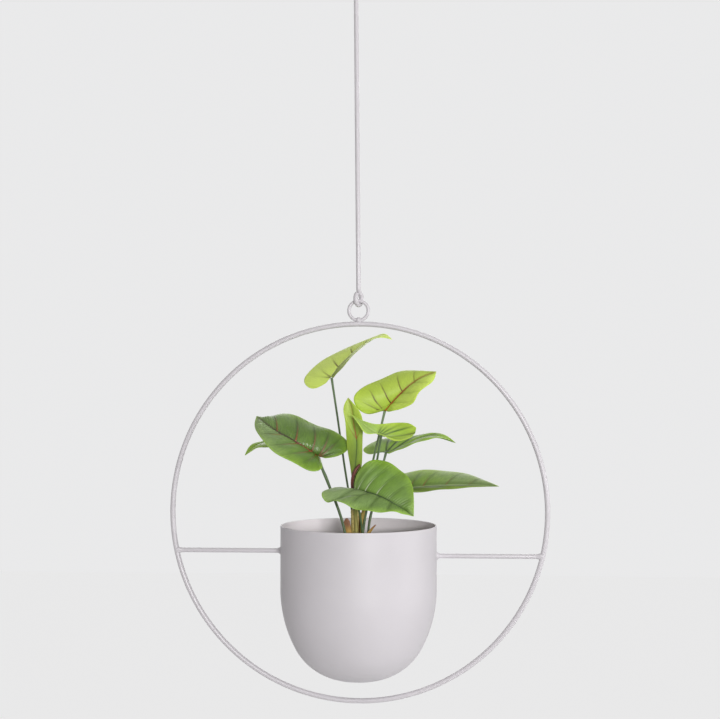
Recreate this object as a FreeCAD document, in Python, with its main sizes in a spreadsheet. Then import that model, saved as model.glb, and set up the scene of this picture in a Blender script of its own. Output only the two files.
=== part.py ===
import FreeCAD, Part
import math
import os
import Sketcher

# Hanging planter: a round bowl-shaped steel pot held by two wire arms in the middle of a
# wire hoop. The hoop hangs by an eyelet from a bent wire rod, and the rod from a hook
# under a screwed ceiling plate. A potted foliage plant lifts out of the pot.
#
# Frame: millimetres, +Z up, -Y to the front, origin in the middle of the plate's upper
# face, where it meets the ceiling. The hoop lies in the XZ plane.

doc = FreeCAD.newDocument("HangingPlanter")
V = FreeCAD.Vector

# ---------------------------------------------------------------- driving dimensions
SIZES = [
    # ceiling plate and hook
    ("plate_diameter", 60), ("plate_thickness", 4), ("plate_edge", 1),
    ("screw_spacing", 40), ("screw_hole", 4.5), ("screw_sink", 2),
    ("hook_wire", 5), ("hook_drop", 30), ("hook_bend", 8), ("hook_neck", 8),
    ("hook_rise", 25), ("boss_diameter", 14), ("boss_height", 5),
    # hanging rod: a wire with an eye bent at each end
    ("rod_wire", 4.5), ("rod_span", 340), ("eye_bend", 6), ("eye_neck", 6),
    ("eye_slit", 0.4), ("eye_turn", 66), ("hang_gap", 0.05),
    # hoop, its eyelet and the arms, all round wire
    ("hoop_bend", 180.7), ("hoop_wire", 5), ("eyelet_bend", 9.35), ("eyelet_wire", 3.3),
    ("weld_sink", 0.5), ("weld_width", 6.5), ("weld_depth", 5), ("weld_height", 3),
    ("arm_wire", 4.5), ("left_arm_drop", 25), ("right_arm_drop", 29),
    ("bead_reach", 4), ("hoop_bead", 6.4), ("pot_bead", 9),
    # steel pot
    ("rim_drop", 13), ("pot_radius", 75), ("pot_wall", 1.2), ("pot_straight", 60),
    ("shoulder_bend", 120), ("shoulder_turn", 28), ("floor_radius", 10), ("rim_round", 0.5),
    # nursery pot and soil
    ("nursery_drop", 20), ("nursery_height", 100), ("nursery_margin", 8),
    ("nursery_wall", 1.2), ("soft_gap", 0.3),
    ("drain_hole", 8), ("drain_ring", 32), ("drain_count", 6), ("soil_drop", 8),
    # plant: two stems, the sheaths round them, stalks and leaves
    ("stem_height", 44), ("stem_foot", 3.7), ("stem_top", 3.3), ("stem_side", 4.5),
    ("stub_height", 42), ("stub_foot", 1.7), ("stub_top", 1.4), ("stub_side", 1.2),
    ("sheath_height", 32), ("sheath_foot", 2.2), ("sheath_tip", 1), ("bract_radius", 1.1),
    ("stalk_radius", 1.4), ("thick_stalk", 1.9), ("leaf_thickness", 1),
]
PLACES = [
    ("hook_bend_z", "-Sizes.plate_thickness - Sizes.hook_drop"),
    ("upper_eye_z", "hook_bend_z - Sizes.hook_bend + Sizes.hook_wire / 2 + Sizes.hang_gap"
                    " - Sizes.eye_bend + Sizes.rod_wire / 2"),
    ("lower_eye_z", "upper_eye_z - Sizes.rod_span"),
    ("eyelet_z", "lower_eye_z - Sizes.eye_bend + Sizes.rod_wire / 2 + Sizes.hang_gap"
                 " - Sizes.eyelet_bend + Sizes.eyelet_wire / 2"),
    ("hoop_z", "eyelet_z - Sizes.eyelet_bend - Sizes.eyelet_wire / 2 + Sizes.weld_sink"
               " - Sizes.hoop_bend - Sizes.hoop_wire / 2"),
    ("rim_z", "hoop_z - Sizes.rim_drop"),
    ("left_arm_z", "rim_z - Sizes.left_arm_drop"),
    ("right_arm_z", "rim_z - Sizes.right_arm_drop"),
    # the belly arc closes what the shoulder arc leaves between the wall and the flat floor
    ("belly_bend", "(Sizes.pot_radius - Sizes.floor_radius - Sizes.shoulder_bend"
                   " * (1 - cos(Sizes.shoulder_turn))) / cos(Sizes.shoulder_turn)"),
    ("floor_z", "rim_z - Sizes.pot_straight - Sizes.shoulder_bend * sin(Sizes.shoulder_turn)"
                " - belly_bend * (1 - sin(Sizes.shoulder_turn))"),
    ("nursery_rim_z", "rim_z - Sizes.nursery_drop"),
    ("nursery_floor_z", "nursery_rim_z - Sizes.nursery_height"),
    # the nursery pot's foot is as wide as the belly is at its level
    ("nursery_foot", "Sizes.floor_radius + sqrt((belly_bend - Sizes.pot_wall - Sizes.soft_gap) ^ 2"
                     " - (floor_z + belly_bend - nursery_floor_z) ^ 2)"),
    ("nursery_top", "Sizes.pot_radius - Sizes.pot_wall - Sizes.nursery_margin"),
    ("soil_z", "nursery_rim_z - Sizes.soil_drop"),
]


def fill_sheet(name, rows, prefix):
    sheet = doc.addObject("Spreadsheet::Sheet", name)
    for line, (alias, content) in enumerate(rows, start=1):
        sheet.set("A%d" % line, alias)
        sheet.set("B%d" % line, prefix + str(content))
        sheet.setAlias("B%d" % line, alias)
    doc.recompute()
    return sheet


sizes = fill_sheet("Sizes", SIZES, "")
places = fill_sheet("Places", PLACES, "=")


def size(alias):
    """The value of a cell of the Sizes sheet."""
    return float(sizes.get(alias))


def place(alias):
    """The value of a cell of the Places sheet."""
    return float(places.get(alias))


# ---------------------------------------------------------------- helpers
def bind(thing, **expressions):
    """Bind properties to the sheets; a double underscore in a key stands for a dot."""
    for key, expression in expressions.items():
        thing.setExpression(key.replace("__", "."), expression)
    return thing


def new_body(label):
    body = doc.addObject("PartDesign::Body", label)
    body.Label = label
    return body


def new_sketch(body, name, role):
    """An empty sketch on one of the body's own origin planes."""
    sketch = body.newObject("Sketcher::SketchObject", name)
    plane = next(f for f in body.Origin.OriginFeatures if f.Role == role)
    sketch.AttachmentSupport = [(plane, "")]
    sketch.MapMode = "FlatFace"
    return sketch


def hold(sketch, kind, *elements, name=None, bound=None):
    """Add one constraint; a dimension starts at its sheet value and stays bound to it."""
    if bound is None:
        return sketch.addConstraint(Sketcher.Constraint(kind, *elements))
    index = sketch.addConstraint(Sketcher.Constraint(kind, *elements))
    sketch.renameConstraint(index, name)
    sketch.setExpression("Constraints." + name, bound)
    return index


def line(ax, ay, bx, by):
    return Part.LineSegment(V(ax, ay, 0), V(bx, by, 0))


def arc(cx, cy, radius, start, end):
    """A circle's arc, counter-clockwise from one angle in degrees to the other."""
    circle = Part.Circle(V(cx, cy, 0), V(0, 0, 1), radius)
    return Part.ArcOfCircle(circle, math.radians(start), math.radians(end))


def primitive(kind, label, **expressions):
    thing = doc.addObject("Part::" + kind, label)
    thing.Label = label
    return bind(thing, **expressions)


ORIGIN = (-1, 1)
START, END, CENTRE = range(1, 4)                  # the numbers of a curve's own points
ACROSS = FreeCAD.Rotation(V(0, 1, 0), 90)       # turns a +Z axis to +X
FACING = FreeCAD.Rotation(V(1, 0, 0), 90)       # turns a +Z axis to -Y


# ---------------------------------------------------------------- ceiling plate
plate = new_body("ceiling_plate")
outline = new_sketch(plate, "PlateOutline", "XY_Plane")
outline.addGeometry(Part.Circle(V(0, 0, 0), V(0, 0, 1), size("plate_diameter") / 2))
hold(outline, "Coincident", 0, CENTRE, *ORIGIN)
hold(outline, "Diameter", 0, size("plate_diameter"), name="rim", bound="Sizes.plate_diameter")
disc = plate.newObject("PartDesign::Pad", "PlateDisc")
disc.Profile = outline
disc.Reversed = True
bind(disc, Length="Sizes.plate_thickness")
doc.recompute()

holes = new_sketch(plate, "ScrewHoles", "XY_Plane")
for side in (-1, 1):
    centre = V(side * size("screw_spacing") / 2, 0, 0)
    holes.addGeometry(Part.Circle(centre, V(0, 0, 1), size("screw_hole") / 2))
hold(holes, "PointOnObject", 0, CENTRE, -1)
hold(holes, "Symmetric", 0, CENTRE, 1, CENTRE, *ORIGIN)
hold(holes, "Equal", 0, 1)
hold(holes, "Diameter", 0, size("screw_hole"), name="hole", bound="Sizes.screw_hole")
hold(holes, "DistanceX", 0, CENTRE, 1, CENTRE, size("screw_spacing"), name="spacing",
     bound="Sizes.screw_spacing")
drilled = plate.newObject("PartDesign::Pocket", "ScrewPocket")
drilled.Profile = holes
drilled.Type = "ThroughAll"
drilled.Reversed = False
doc.recompute()


def edges_at(shape, radius, z):
    """Names of the circular edges with this radius at this height."""
    return ["Edge%d" % (n + 1) for n, e in enumerate(shape.Edges)
            if isinstance(e.Curve, Part.Circle) and abs(e.Curve.Radius - radius) < 1e-4
            and abs(e.Curve.Center.z - z) < 1e-4 and abs(abs(e.Curve.Axis.z) - 1) < 1e-6]


sinks = plate.newObject("PartDesign::Chamfer", "ScrewSinks")
sinks.Base = (drilled, edges_at(drilled.Shape, size("screw_hole") / 2, -size("plate_thickness")))
bind(sinks, Size="Sizes.screw_sink")
doc.recompute()
softened = plate.newObject("PartDesign::Fillet", "PlateEdge")
softened.Base = (sinks, edges_at(sinks.Shape, size("plate_diameter") / 2,
                                 -size("plate_thickness")))
bind(softened, Radius="Sizes.plate_edge")
doc.recompute()


# ---------------------------------------------------------------- bent wires
def neck_angle(bend, neck):
    """How far a straight wire turns aside before it can run into a centred eye."""
    return math.degrees(math.acos(neck / (bend + neck)))


def wire_circle(body, name, role, across, up, radius, bound):
    """The round section of a wire, centred at one point of an origin plane."""
    section = new_sketch(body, name, role)
    section.addGeometry(Part.Circle(V(across, up, 0), V(0, 0, 1), radius))
    hold(section, "Radius", 0, radius, name="wire", bound=bound)
    return section


def sweep_wire(body, name, section, path):
    pipe = body.newObject("PartDesign::AdditivePipe", name)
    pipe.Profile = section
    pipe.Spine = (path, ["Edge%d" % (n + 1) for n in range(len(path.Geometry))])
    return pipe


# The hook: a stem that turns aside and comes round under its own axis, open on one side.
hook = new_body("ceiling_hook")
bend, neck, drop = size("hook_bend"), size("hook_neck"), size("hook_drop")
turn = neck_angle(bend, neck)
neck_z = -drop + (bend + neck) * math.sin(math.radians(turn))
path = new_sketch(hook, "HookPath", "XZ_Plane")
path.addGeometry([line(0, 0, 0, neck_z), arc(neck, neck_z, neck, 180, 180 + turn),
                  arc(0, -drop, bend, 180 - size("hook_rise"), 360 + turn)])
hold(path, "Coincident", 0, START, *ORIGIN)
hold(path, "Vertical", 0)
hold(path, "Tangent", 0, END, 1, START)
hold(path, "Tangent", 1, END, 2, END)
hold(path, "PointOnObject", 2, CENTRE, -2)
hold(path, "DistanceY", 2, CENTRE, *ORIGIN, drop, name="drop", bound="Sizes.hook_drop")
hold(path, "Radius", 2, bend, name="bend", bound="Sizes.hook_bend")
hold(path, "Radius", 1, neck, name="neck", bound="Sizes.hook_neck")
hold(path, "DistanceY", 2, CENTRE, 2, START, bend * math.sin(math.radians(size("hook_rise"))),
     name="rise", bound="Sizes.hook_bend * sin(Sizes.hook_rise)")
section = wire_circle(hook, "HookSection", "XY_Plane", 0, 0, size("hook_wire") / 2,
                      "Sizes.hook_wire / 2")
hold(section, "Coincident", 0, CENTRE, *ORIGIN)
doc.recompute()
sweep_wire(hook, "HookWire", section, path)
doc.recompute()
boss = new_sketch(hook, "HookBoss", "XY_Plane")
boss.addGeometry(Part.Circle(V(0, 0, 0), V(0, 0, 1), size("boss_diameter") / 2))
hold(boss, "Coincident", 0, CENTRE, *ORIGIN)
hold(boss, "Diameter", 0, size("boss_diameter"), name="boss", bound="Sizes.boss_diameter")
root = hook.newObject("PartDesign::Pad", "BossPad")
root.Profile = boss
root.Reversed = True
bind(root, Length="Sizes.boss_height")
bind(hook, Placement__Base__z="-Sizes.plate_thickness")
hook.Placement.Rotation = FreeCAD.Rotation(V(0, 0, 1), size("eye_turn") - 90)
doc.recompute()

# The rod: its upper eye is a plain loop with the shank at its side, its lower eye is
# centred under the shank, so the shank leans a little between them.
rod = new_body("hanging_rod")
bend, neck, span = size("eye_bend"), size("eye_neck"), size("rod_span")
turn = neck_angle(bend, neck)
neck_z = -span + (bend + neck) * math.sin(math.radians(turn))
slit = neck + size("rod_wire") + size("eye_slit")
to_slit = math.degrees(math.acos(((bend + neck) ** 2 + bend ** 2 - slit ** 2)
                                 / (2 * bend * (bend + neck))))
path = new_sketch(rod, "RodPath", "XZ_Plane")
path.addGeometry([arc(0, 0, bend, 270, 540), line(-bend, 0, 0, neck_z),
                  arc(neck, neck_z, neck, 180, 180 + turn),
                  arc(0, -span, bend, turn + to_slit, 360 + turn)])
hold(path, "Coincident", 0, CENTRE, *ORIGIN)
hold(path, "PointOnObject", 0, START, -2)
hold(path, "Radius", 0, bend, name="upper", bound="Sizes.eye_bend")
hold(path, "Tangent", 0, END, 1, START)
hold(path, "Tangent", 1, END, 2, START)
hold(path, "PointOnObject", 1, END, -2)
hold(path, "Radius", 2, neck, name="neck", bound="Sizes.eye_neck")
hold(path, "Tangent", 2, END, 3, END)
hold(path, "PointOnObject", 3, CENTRE, -2)
hold(path, "Radius", 3, bend, name="lower", bound="Sizes.eye_bend")
hold(path, "DistanceY", 3, CENTRE, *ORIGIN, span, name="span", bound="Sizes.rod_span")
hold(path, "Distance", 3, START, 2, CENTRE, slit, name="slit",
     bound="Sizes.eye_neck + Sizes.rod_wire + Sizes.eye_slit")
section = wire_circle(rod, "RodSection", "YZ_Plane", 0, -bend, size("rod_wire") / 2,
                      "Sizes.rod_wire / 2")
hold(section, "PointOnObject", 0, CENTRE, -2)
hold(section, "DistanceY", 0, CENTRE, *ORIGIN, bend, name="level", bound="Sizes.eye_bend")
doc.recompute()
sweep_wire(rod, "RodWire", section, path)
bind(rod, Placement__Base__z="Places.upper_eye_z")
rod.Placement.Rotation = FreeCAD.Rotation(V(0, 0, 1), size("eye_turn"))
doc.recompute()


# ---------------------------------------------------------------- steel pot
pot = new_body("planter_pot")
profile = new_sketch(pot, "PotProfile", "XZ_Plane")
radius, straight, floor = size("pot_radius"), size("pot_straight"), size("floor_radius")
shoulder, turn, belly = size("shoulder_bend"), size("shoulder_turn"), place("belly_bend")
depth = place("rim_z") - place("floor_z")
profile.addGeometry([
    line(0, 0, radius, 0), line(radius, 0, radius, -straight),
    arc(radius - shoulder, -straight, shoulder, 360 - turn, 360),
    arc(floor, belly - depth, belly, 270, 360 - turn),
    line(floor, -depth, 0, -depth), line(0, -depth, 0, 0)])
hold(profile, "Coincident", 0, START, *ORIGIN)
for before, after in ((0, 1), (4, 5)):
    hold(profile, "Coincident", before, END, after, START)
hold(profile, "Coincident", 5, END, 0, START)
hold(profile, "Horizontal", 0)
hold(profile, "Vertical", 1)
hold(profile, "Tangent", 1, END, 2, END)
hold(profile, "Tangent", 2, START, 3, END)
hold(profile, "Tangent", 3, START, 4, START)
hold(profile, "Horizontal", 4)
hold(profile, "Vertical", 5)
hold(profile, "DistanceX", 0, START, 0, END, radius, name="radius", bound="Sizes.pot_radius")
hold(profile, "DistanceY", 1, END, 1, START, straight, name="straight",
     bound="Sizes.pot_straight")
hold(profile, "Radius", 2, shoulder, name="shoulder", bound="Sizes.shoulder_bend")
hold(profile, "Radius", 3, belly, name="belly", bound="Places.belly_bend")
hold(profile, "DistanceX", 4, END, 4, START, floor, name="floor", bound="Sizes.floor_radius")
doc.recompute()


def turned(body, name, sketch):
    """Turn a half profile once round the body's own Z axis."""
    solid = body.newObject("PartDesign::Revolution", name)
    solid.Profile = sketch
    solid.ReferenceAxis = (sketch, ["V_Axis"])
    solid.Angle = 360
    doc.recompute()
    return solid


def hollowed(body, name, solid, level, wall):
    """Take out the inside through the flat top face at this level."""
    top = ["Face%d" % (n + 1) for n, f in enumerate(solid.Shape.Faces)
           if isinstance(f.Surface, Part.Plane) and abs(f.CenterOfMass.z - level) < 1e-4]
    shell = body.newObject("PartDesign::Thickness", name)
    shell.Base = (solid, top)
    shell.Reversed = True
    bind(shell, Value=wall)
    doc.recompute()
    return shell


bowl = turned(pot, "PotBowl", profile)
shell = hollowed(pot, "PotShell", bowl, 0, "Sizes.pot_wall")
rim = pot.newObject("PartDesign::Fillet", "PotRim")
rim.Base = (shell, edges_at(shell.Shape, radius, 0)
            + edges_at(shell.Shape, radius - size("pot_wall"), 0))
bind(rim, Radius="Sizes.rim_round")
bind(pot, Placement__Base__z="Places.rim_z")
doc.recompute()


# ---------------------------------------------------------------- hoop, eyelet, arms
hoop = primitive("Torus", "hoop", Radius1="Sizes.hoop_bend", Radius2="Sizes.hoop_wire / 2",
                 Placement__Base__z="Places.hoop_z")
hoop.Placement.Rotation = FACING

ring = primitive("Torus", "EyeletRing", Radius1="Sizes.eyelet_bend",
                 Radius2="Sizes.eyelet_wire / 2", Placement__Base__z="Places.eyelet_z")
ring.Placement.Rotation = FACING
weld = primitive("Ellipsoid", "EyeletWeld", Radius1="Sizes.weld_height",
                 Radius2="Sizes.weld_width / 2", Radius3="Sizes.weld_depth / 2",
                 Placement__Base__z="Places.eyelet_z - Sizes.eyelet_bend")
ring_and_weld = doc.addObject("Part::Fuse", "RingAndWeld")
ring_and_weld.Base, ring_and_weld.Tool = ring, weld
eyelet = doc.addObject("Part::Cut", "eyelet")
eyelet.Label = "eyelet"
eyelet.Base, eyelet.Tool = ring_and_weld, hoop

pot_blank = primitive("Cylinder", "PotBlank", Radius="Sizes.pot_radius",
                      Height="Sizes.pot_straight",
                      Placement__Base__z="Places.rim_z - Sizes.pot_straight")
seats = doc.addObject("Part::MultiFuse", "ArmSeats")
seats.Shapes = [hoop, pot_blank]


def arm(label, side, level):
    """A straight wire from the hoop to the pot's wall, with a flared weld at each end."""
    reach = "sqrt(Sizes.hoop_bend ^ 2 - (Places.hoop_z - %s) ^ 2)" % level
    spot = dict(Placement__Base__z=level)
    wire = primitive("Cylinder", label + "_wire", Radius="Sizes.arm_wire / 2",
                     Height=reach + " - Sizes.pot_radius + Sizes.pot_wall", **spot)
    hoop_end = primitive("Cone", label + "_hoop_bead", Radius1="Sizes.hoop_bead / 2",
                         Radius2="Sizes.arm_wire / 2",
                         Height="Sizes.hoop_wire / 2 + Sizes.bead_reach", **spot)
    pot_end = primitive("Cone", label + "_pot_bead", Radius1="Sizes.arm_wire / 2",
                        Radius2="Sizes.pot_bead / 2",
                        Height="Sizes.pot_wall + Sizes.bead_reach", **spot)
    if side < 0:
        starts = ("-" + reach, "-" + reach,
                  "-Sizes.pot_radius - Sizes.bead_reach")
    else:
        starts = (reach, reach, "Sizes.pot_radius + Sizes.bead_reach")
    for piece, start in zip((wire, hoop_end, pot_end), starts):
        bind(piece, Placement__Base__x=start)
        piece.Placement.Rotation = ACROSS if side < 0 else ACROSS.inverted()
    joined = doc.addObject("Part::MultiFuse", label + "_joined")
    joined.Shapes = [wire, hoop_end, pot_end]
    cut = doc.addObject("Part::Cut", label)
    cut.Label = label
    cut.Base, cut.Tool = joined, seats
    return cut


left_arm = arm("left_arm", -1, "Places.left_arm_z")
right_arm = arm("right_arm", 1, "Places.right_arm_z")
doc.recompute()


# ---------------------------------------------------------------- nursery pot and soil
nursery = new_body("nursery_pot")
profile = new_sketch(nursery, "NurseryProfile", "XZ_Plane")
foot, top, tall = place("nursery_foot"), place("nursery_top"), size("nursery_height")
profile.addGeometry([line(0, 0, foot, 0), line(foot, 0, top, tall), line(top, tall, 0, tall),
                     line(0, tall, 0, 0)])
hold(profile, "Coincident", 0, START, *ORIGIN)
for before in range(4):
    hold(profile, "Coincident", before, END, (before + 1) % 4, START)
hold(profile, "Horizontal", 0)
hold(profile, "Horizontal", 2)
hold(profile, "Vertical", 3)
hold(profile, "DistanceX", 0, START, 0, END, foot, name="foot", bound="Places.nursery_foot")
hold(profile, "DistanceX", 2, END, 2, START, top, name="top", bound="Places.nursery_top")
hold(profile, "DistanceY", 3, END, 3, START, tall, name="height",
     bound="Sizes.nursery_height")
doc.recompute()
tub = hollowed(nursery, "NurseryShell", turned(nursery, "NurseryTub", profile), tall,
               "Sizes.nursery_wall")
drain = new_sketch(nursery, "DrainHole", "XY_Plane")
drain.addGeometry(Part.Circle(V(size("drain_ring"), 0, 0), V(0, 0, 1), size("drain_hole") / 2))
hold(drain, "PointOnObject", 0, CENTRE, -1)
hold(drain, "DistanceX", *ORIGIN, 0, CENTRE, size("drain_ring"), name="ring",
     bound="Sizes.drain_ring")
hold(drain, "Diameter", 0, size("drain_hole"), name="hole", bound="Sizes.drain_hole")
drained = nursery.newObject("PartDesign::Pocket", "DrainPocket")
drained.Profile = drain
drained.Reversed = True
bind(drained, Length="2 * Sizes.nursery_wall")
doc.recompute()
holes = nursery.newObject("PartDesign::PolarPattern", "DrainPattern")
holes.Originals = [drained]
holes.Axis = (drain, ["N_Axis"])
holes.Angle = 360
bind(holes, Occurrences="Sizes.drain_count")
nursery.Tip = holes
bind(nursery, Placement__Base__z="Places.nursery_floor_z")
doc.recompute()

# the wall's slope gives the soil's two radii, a soft gap inside the wall
slope = "(Places.nursery_top - Places.nursery_foot) / Sizes.nursery_height"
inset = "Sizes.nursery_wall * sqrt(1 + (%s) ^ 2) - Sizes.soft_gap" % slope
soil = primitive("Cone", "potting_soil",
                 Radius1="Places.nursery_foot + Sizes.nursery_wall * %s - %s" % (slope, inset),
                 Radius2="Places.nursery_top - Sizes.soil_drop * %s - %s" % (slope, inset),
                 Height="Sizes.nursery_height - Sizes.soil_drop - Sizes.nursery_wall",
                 Placement__Base__z="Places.nursery_floor_z + Sizes.nursery_wall")
doc.recompute()


# ---------------------------------------------------------------- the plant
# Its points are (right, back, up) from the middle of the soil's top. Every leaf and stalk
# lies wholly in front of the hoop's plane or wholly behind it where it is tall enough to
# pass the hoop as the plant is lifted out.
FOOT = V(0, 0, place("soil_z"))

stem = primitive("Cone", "main_stem", Radius1="Sizes.stem_foot", Radius2="Sizes.stem_top",
                 Height="Sizes.stem_height", Placement__Base__x="-Sizes.stem_side",
                 Placement__Base__z="Places.soil_z")
stub = primitive("Cone", "old_stem", Radius1="Sizes.stub_foot", Radius2="Sizes.stub_top",
                 Height="Sizes.stub_height", Placement__Base__x="Sizes.stub_side",
                 Placement__Base__z="Places.soil_z")


def planted(label, shape):
    """A grown piece: its shape is placed from the middle of the soil's top."""
    piece = doc.addObject("Part::Feature", label)
    piece.Label = label
    piece.Shape = shape
    piece.Placement = FreeCAD.Placement(FOOT, FreeCAD.Rotation())
    return piece


BELOW_SOIL = Part.makeBox(60, 60, 10, V(-30, -30, -10))     # trims every foot level


def tube(points, radius):
    """A round stalk along straight runs that join in tangent arcs."""
    points = [V(*p) for p in points]
    edges, start = [], points[0]
    for before, corner, after in zip(points, points[1:], points[2:]):
        way_in, way_out = (corner - before).normalize(), (after - corner).normalize()
        half_turn = way_in.getAngle(way_out) / 2
        reach = 0.45 * min((corner - before).Length, (after - corner).Length)
        bulge = reach / math.tan(half_turn) * (1 / math.cos(half_turn) - 1)
        first, last = corner - way_in * reach, corner + way_out * reach
        inward = (way_out - way_in).normalize()
        edges += [Part.LineSegment(start, first).toShape(),
                  Part.Arc(first, corner + inward * bulge, last).toShape()]
        start = last
    edges.append(Part.LineSegment(start, points[-1]).toShape())
    section = Part.Wire(Part.Circle(points[0], points[1] - points[0], radius).toShape())
    return Part.Wire(edges).makePipeShell([section], True, False)


LEAF_ROWS = 10          # rows of the sheet along the blade
TIP_SHARE = 0.985       # the sheet stops short of the tip, so its end is an edge


def margin_point(curve, share):
    """The point at this share of a curve's parameter, from 0 at its start to 1."""
    first, last = curve.FirstParameter, curve.LastParameter
    return curve.value(first + (last - first) * share)


def blade(rib, left, right):
    """A leaf blade: a smooth sheet from the left margin over the rib to the right margin.

    All three curves run from the stalk to the tip. The sheet is ruled between points at
    the same share of their lengths, which fans it round the lobes behind the stalk, and
    thickened half to each side along its own facing.
    """
    curves = []
    for points in (left + rib[-1:], rib, right + rib[-1:]):
        curve = Part.BSplineCurve()
        curve.interpolate([V(*p) for p in points])
        curves.append(curve)
    grid = []
    for row in range(LEAF_ROWS + 1):
        edge_a, middle, edge_b = (margin_point(c, TIP_SHARE * row / LEAF_ROWS) for c in curves)
        grid.append([edge_a, (edge_a + middle) / 2, middle, (middle + edge_b) / 2, edge_b])
    sheet = Part.BSplineSurface()
    sheet.interpolate(grid)
    net = sheet.getPoles()
    rows, columns = len(net), len(net[0])
    lower, upper = [], []
    for row in range(rows):
        lower.append([])
        upper.append([])
        for column in range(columns):
            along = net[min(row + 1, rows - 1)][column] - net[max(row - 1, 0)][column]
            across = net[row][min(column + 1, columns - 1)] - net[row][max(column - 1, 0)]
            half = along.cross(across).normalize() * size("leaf_thickness") / 2
            lower[-1].append(net[row][column] - half)
            upper[-1].append(net[row][column] + half)

    def patch(poles, u_way, v_way):
        """A smooth face over a net of poles; each way is its knots, their counts, degree."""
        face = Part.BSplineSurface()
        face.buildFromPolesMultsKnots(poles, u_way[1], v_way[1], u_way[0], v_way[0],
                                      False, False, u_way[2], v_way[2])
        return face.toShape()

    length_way = sheet.getUKnots(), sheet.getUMultiplicities(), sheet.UDegree
    width_way = sheet.getVKnots(), sheet.getVMultiplicities(), sheet.VDegree
    straight_way = [0, 1], [2, 2], 1
    faces = [patch(lower, length_way, width_way), patch(upper, length_way, width_way)]
    for column in (0, -1):
        faces.append(patch([[a[column], b[column]] for a, b in zip(lower, upper)],
                           length_way, straight_way))
    for row in (0, -1):
        faces.append(patch([[a, b] for a, b in zip(lower[row], upper[row])],
                           width_way, straight_way))
    shell = Part.Shell(faces)
    shell.sewShape()
    solid = Part.Solid(shell)
    return solid if solid.Volume > 0 else solid.reversed()


PLANT = {
    # name: (stalk from the soil up to the rib's first point, rib, left and right margin)
    "top": (
        [(-3.5, 6.5, 0), (-5.3, 6.5, 30), (-10.9, 10, 63), (-19.8, 24, 114)],
        [(-29, 34, 170), (-10, 36, 190), (12, 36, 208), (31, 34, 209)],
        [(-35, 37, 165), (-51, 42, 160), (-58, 47, 167), (-51, 52, 179), (-30, 52, 194),
         (-9, 47, 203), (13, 41, 211)],
        [(-27, 30, 170), (-21, 20, 176), (-11, 12, 186), (-2, 13, 196), (9, 19, 205),
         (20, 28, 209)]),
    "upper_right": (
        [(2.8, -5.5, 0), (3.7, -6, 29), (8.1, -8, 52), (19.8, -14, 112)],
        [(26, -14, 138), (43, -20, 156), (60, -24, 169), (75, -26, 175)],
        [(19, -14, 137), (10, -20, 135), (0, -24, 141), (-3, -24, 150), (4, -18, 159),
         (21, -10, 168), (39, -8, 175), (60, -16, 176)],
        [(30, -16, 137), (35, -22, 138), (45, -28, 141), (54, -32, 146), (57, -33, 153),
         (65, -32, 160), (73, -29, 168)]),
    "young": (
        [(-1.2, -8, 0), (-1.2, -9, 50)],
        [(-1, -14, 75), (-3, -19, 110), (-4, -23, 133), (-8, -26, 149)],
        [(-5, -15, 78), (-8, -23, 103), (-10, -30, 126), (-11, -32, 139), (-10, -29, 146)],
        [(4, -16, 83), (5, -23, 105), (5, -28, 124), (3, -32, 137), (-3, -30, 144)]),
    "saddle": (
        [(5, -10.5, 0), (5.9, -11, 21), (9.3, -12, 44), (19.1, -19, 93)],
        [(55, -26, 117), (23, -25, 115), (12, -34, 122), (-6, -42, 136)],
        [(51, -31, 113), (41, -33, 110), (28, -32, 113), (18, -37, 117), (8, -46, 118),
         (2, -46, 127)],
        [(56, -22, 122), (49, -18, 126), (31, -17, 126), (15, -26, 126), (2, -37, 131)]),
    "big_left": (
        [(-10, -7, 0), (-11.8, -8, 21), (-16.5, -12, 42), (-25, -20, 66)],
        [(-37, -24, 95), (-59, -34, 110), (-80, -34, 122), (-95, -28, 133)],
        [(-34, -27, 91), (-32, -34, 85), (-38, -44, 82), (-57, -54, 90), (-76, -54, 101),
         (-91, -44, 116), (-96, -34, 126)],
        [(-30, -24, 93), (-16, -20, 96), (-8, -14, 104), (-19, -10, 116), (-39, -8, 124),
         (-57, -8, 132), (-73, -12, 135), (-88, -22, 132)]),
    "far_left": (
        [(-11.5, 4, 0), (-12.7, 4, 20), (-16.8, 6, 40), (-36, 14, 79)],
        [(-59, 26, 100), (-79, 30, 107), (-97, 30, 105), (-115, 28, 93)],
        [(-61, 22, 98), (-68, 14, 98), (-80, 10, 101), (-95, 14, 102), (-107, 22, 98)],
        [(-58, 30, 102), (-65, 40, 112), (-81, 44, 114), (-97, 40, 107), (-109, 34, 104)]),
    "curled_right": (
        [(7.5, 0, 0), (9.1, 1, 20), (12.9, 4, 42)],
        [(26, 12, 97), (48, 18, 105), (71, 22, 112), (94, 24, 106)],
        [(19, 14, 98), (9, 20, 95), (3, 26, 99), (11, 32, 106), (29, 36, 110), (51, 36, 112),
         (66, 32, 115), (81, 28, 115)],
        [(29, 10, 96), (36, 7, 99), (49, 7, 104), (67, 10, 110), (79, 16, 111), (88, 21, 109)]),
    "long_right": (
        [(7.5, 7.5, 0), (8.7, 8, 19), (12, 9, 38), (18.8, 10, 48)],
        [(36, 10, 61), (64, 16, 62), (93, 20, 64), (136, 22, 64)],
        [(32, 14, 63), (34, 26, 72), (47, 34, 77), (71, 38, 79), (95, 38, 77), (116, 32, 72)],
        [(38, 8, 60), (53, 7, 59), (76, 9, 61), (103, 14, 63), (123, 19, 64)]),
    "front": (
        [(5.5, -14.5, 0), (5.2, -16, 22), (2.3, -22, 45)],
        [(-2, -30, 64), (15, -38, 61), (33, -46, 54), (54, -50, 41)],
        [(-2, -29, 70), (1, -28, 80), (9, -27, 89), (19, -26, 92), (39, -28, 84),
         (50, -34, 74), (54, -44, 58)],
        [(-10, -33, 66), (-24, -38, 66), (-32, -46, 60), (-22, -54, 54), (1, -60, 49),
         (29, -60, 46), (44, -56, 44)]),
}

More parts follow.
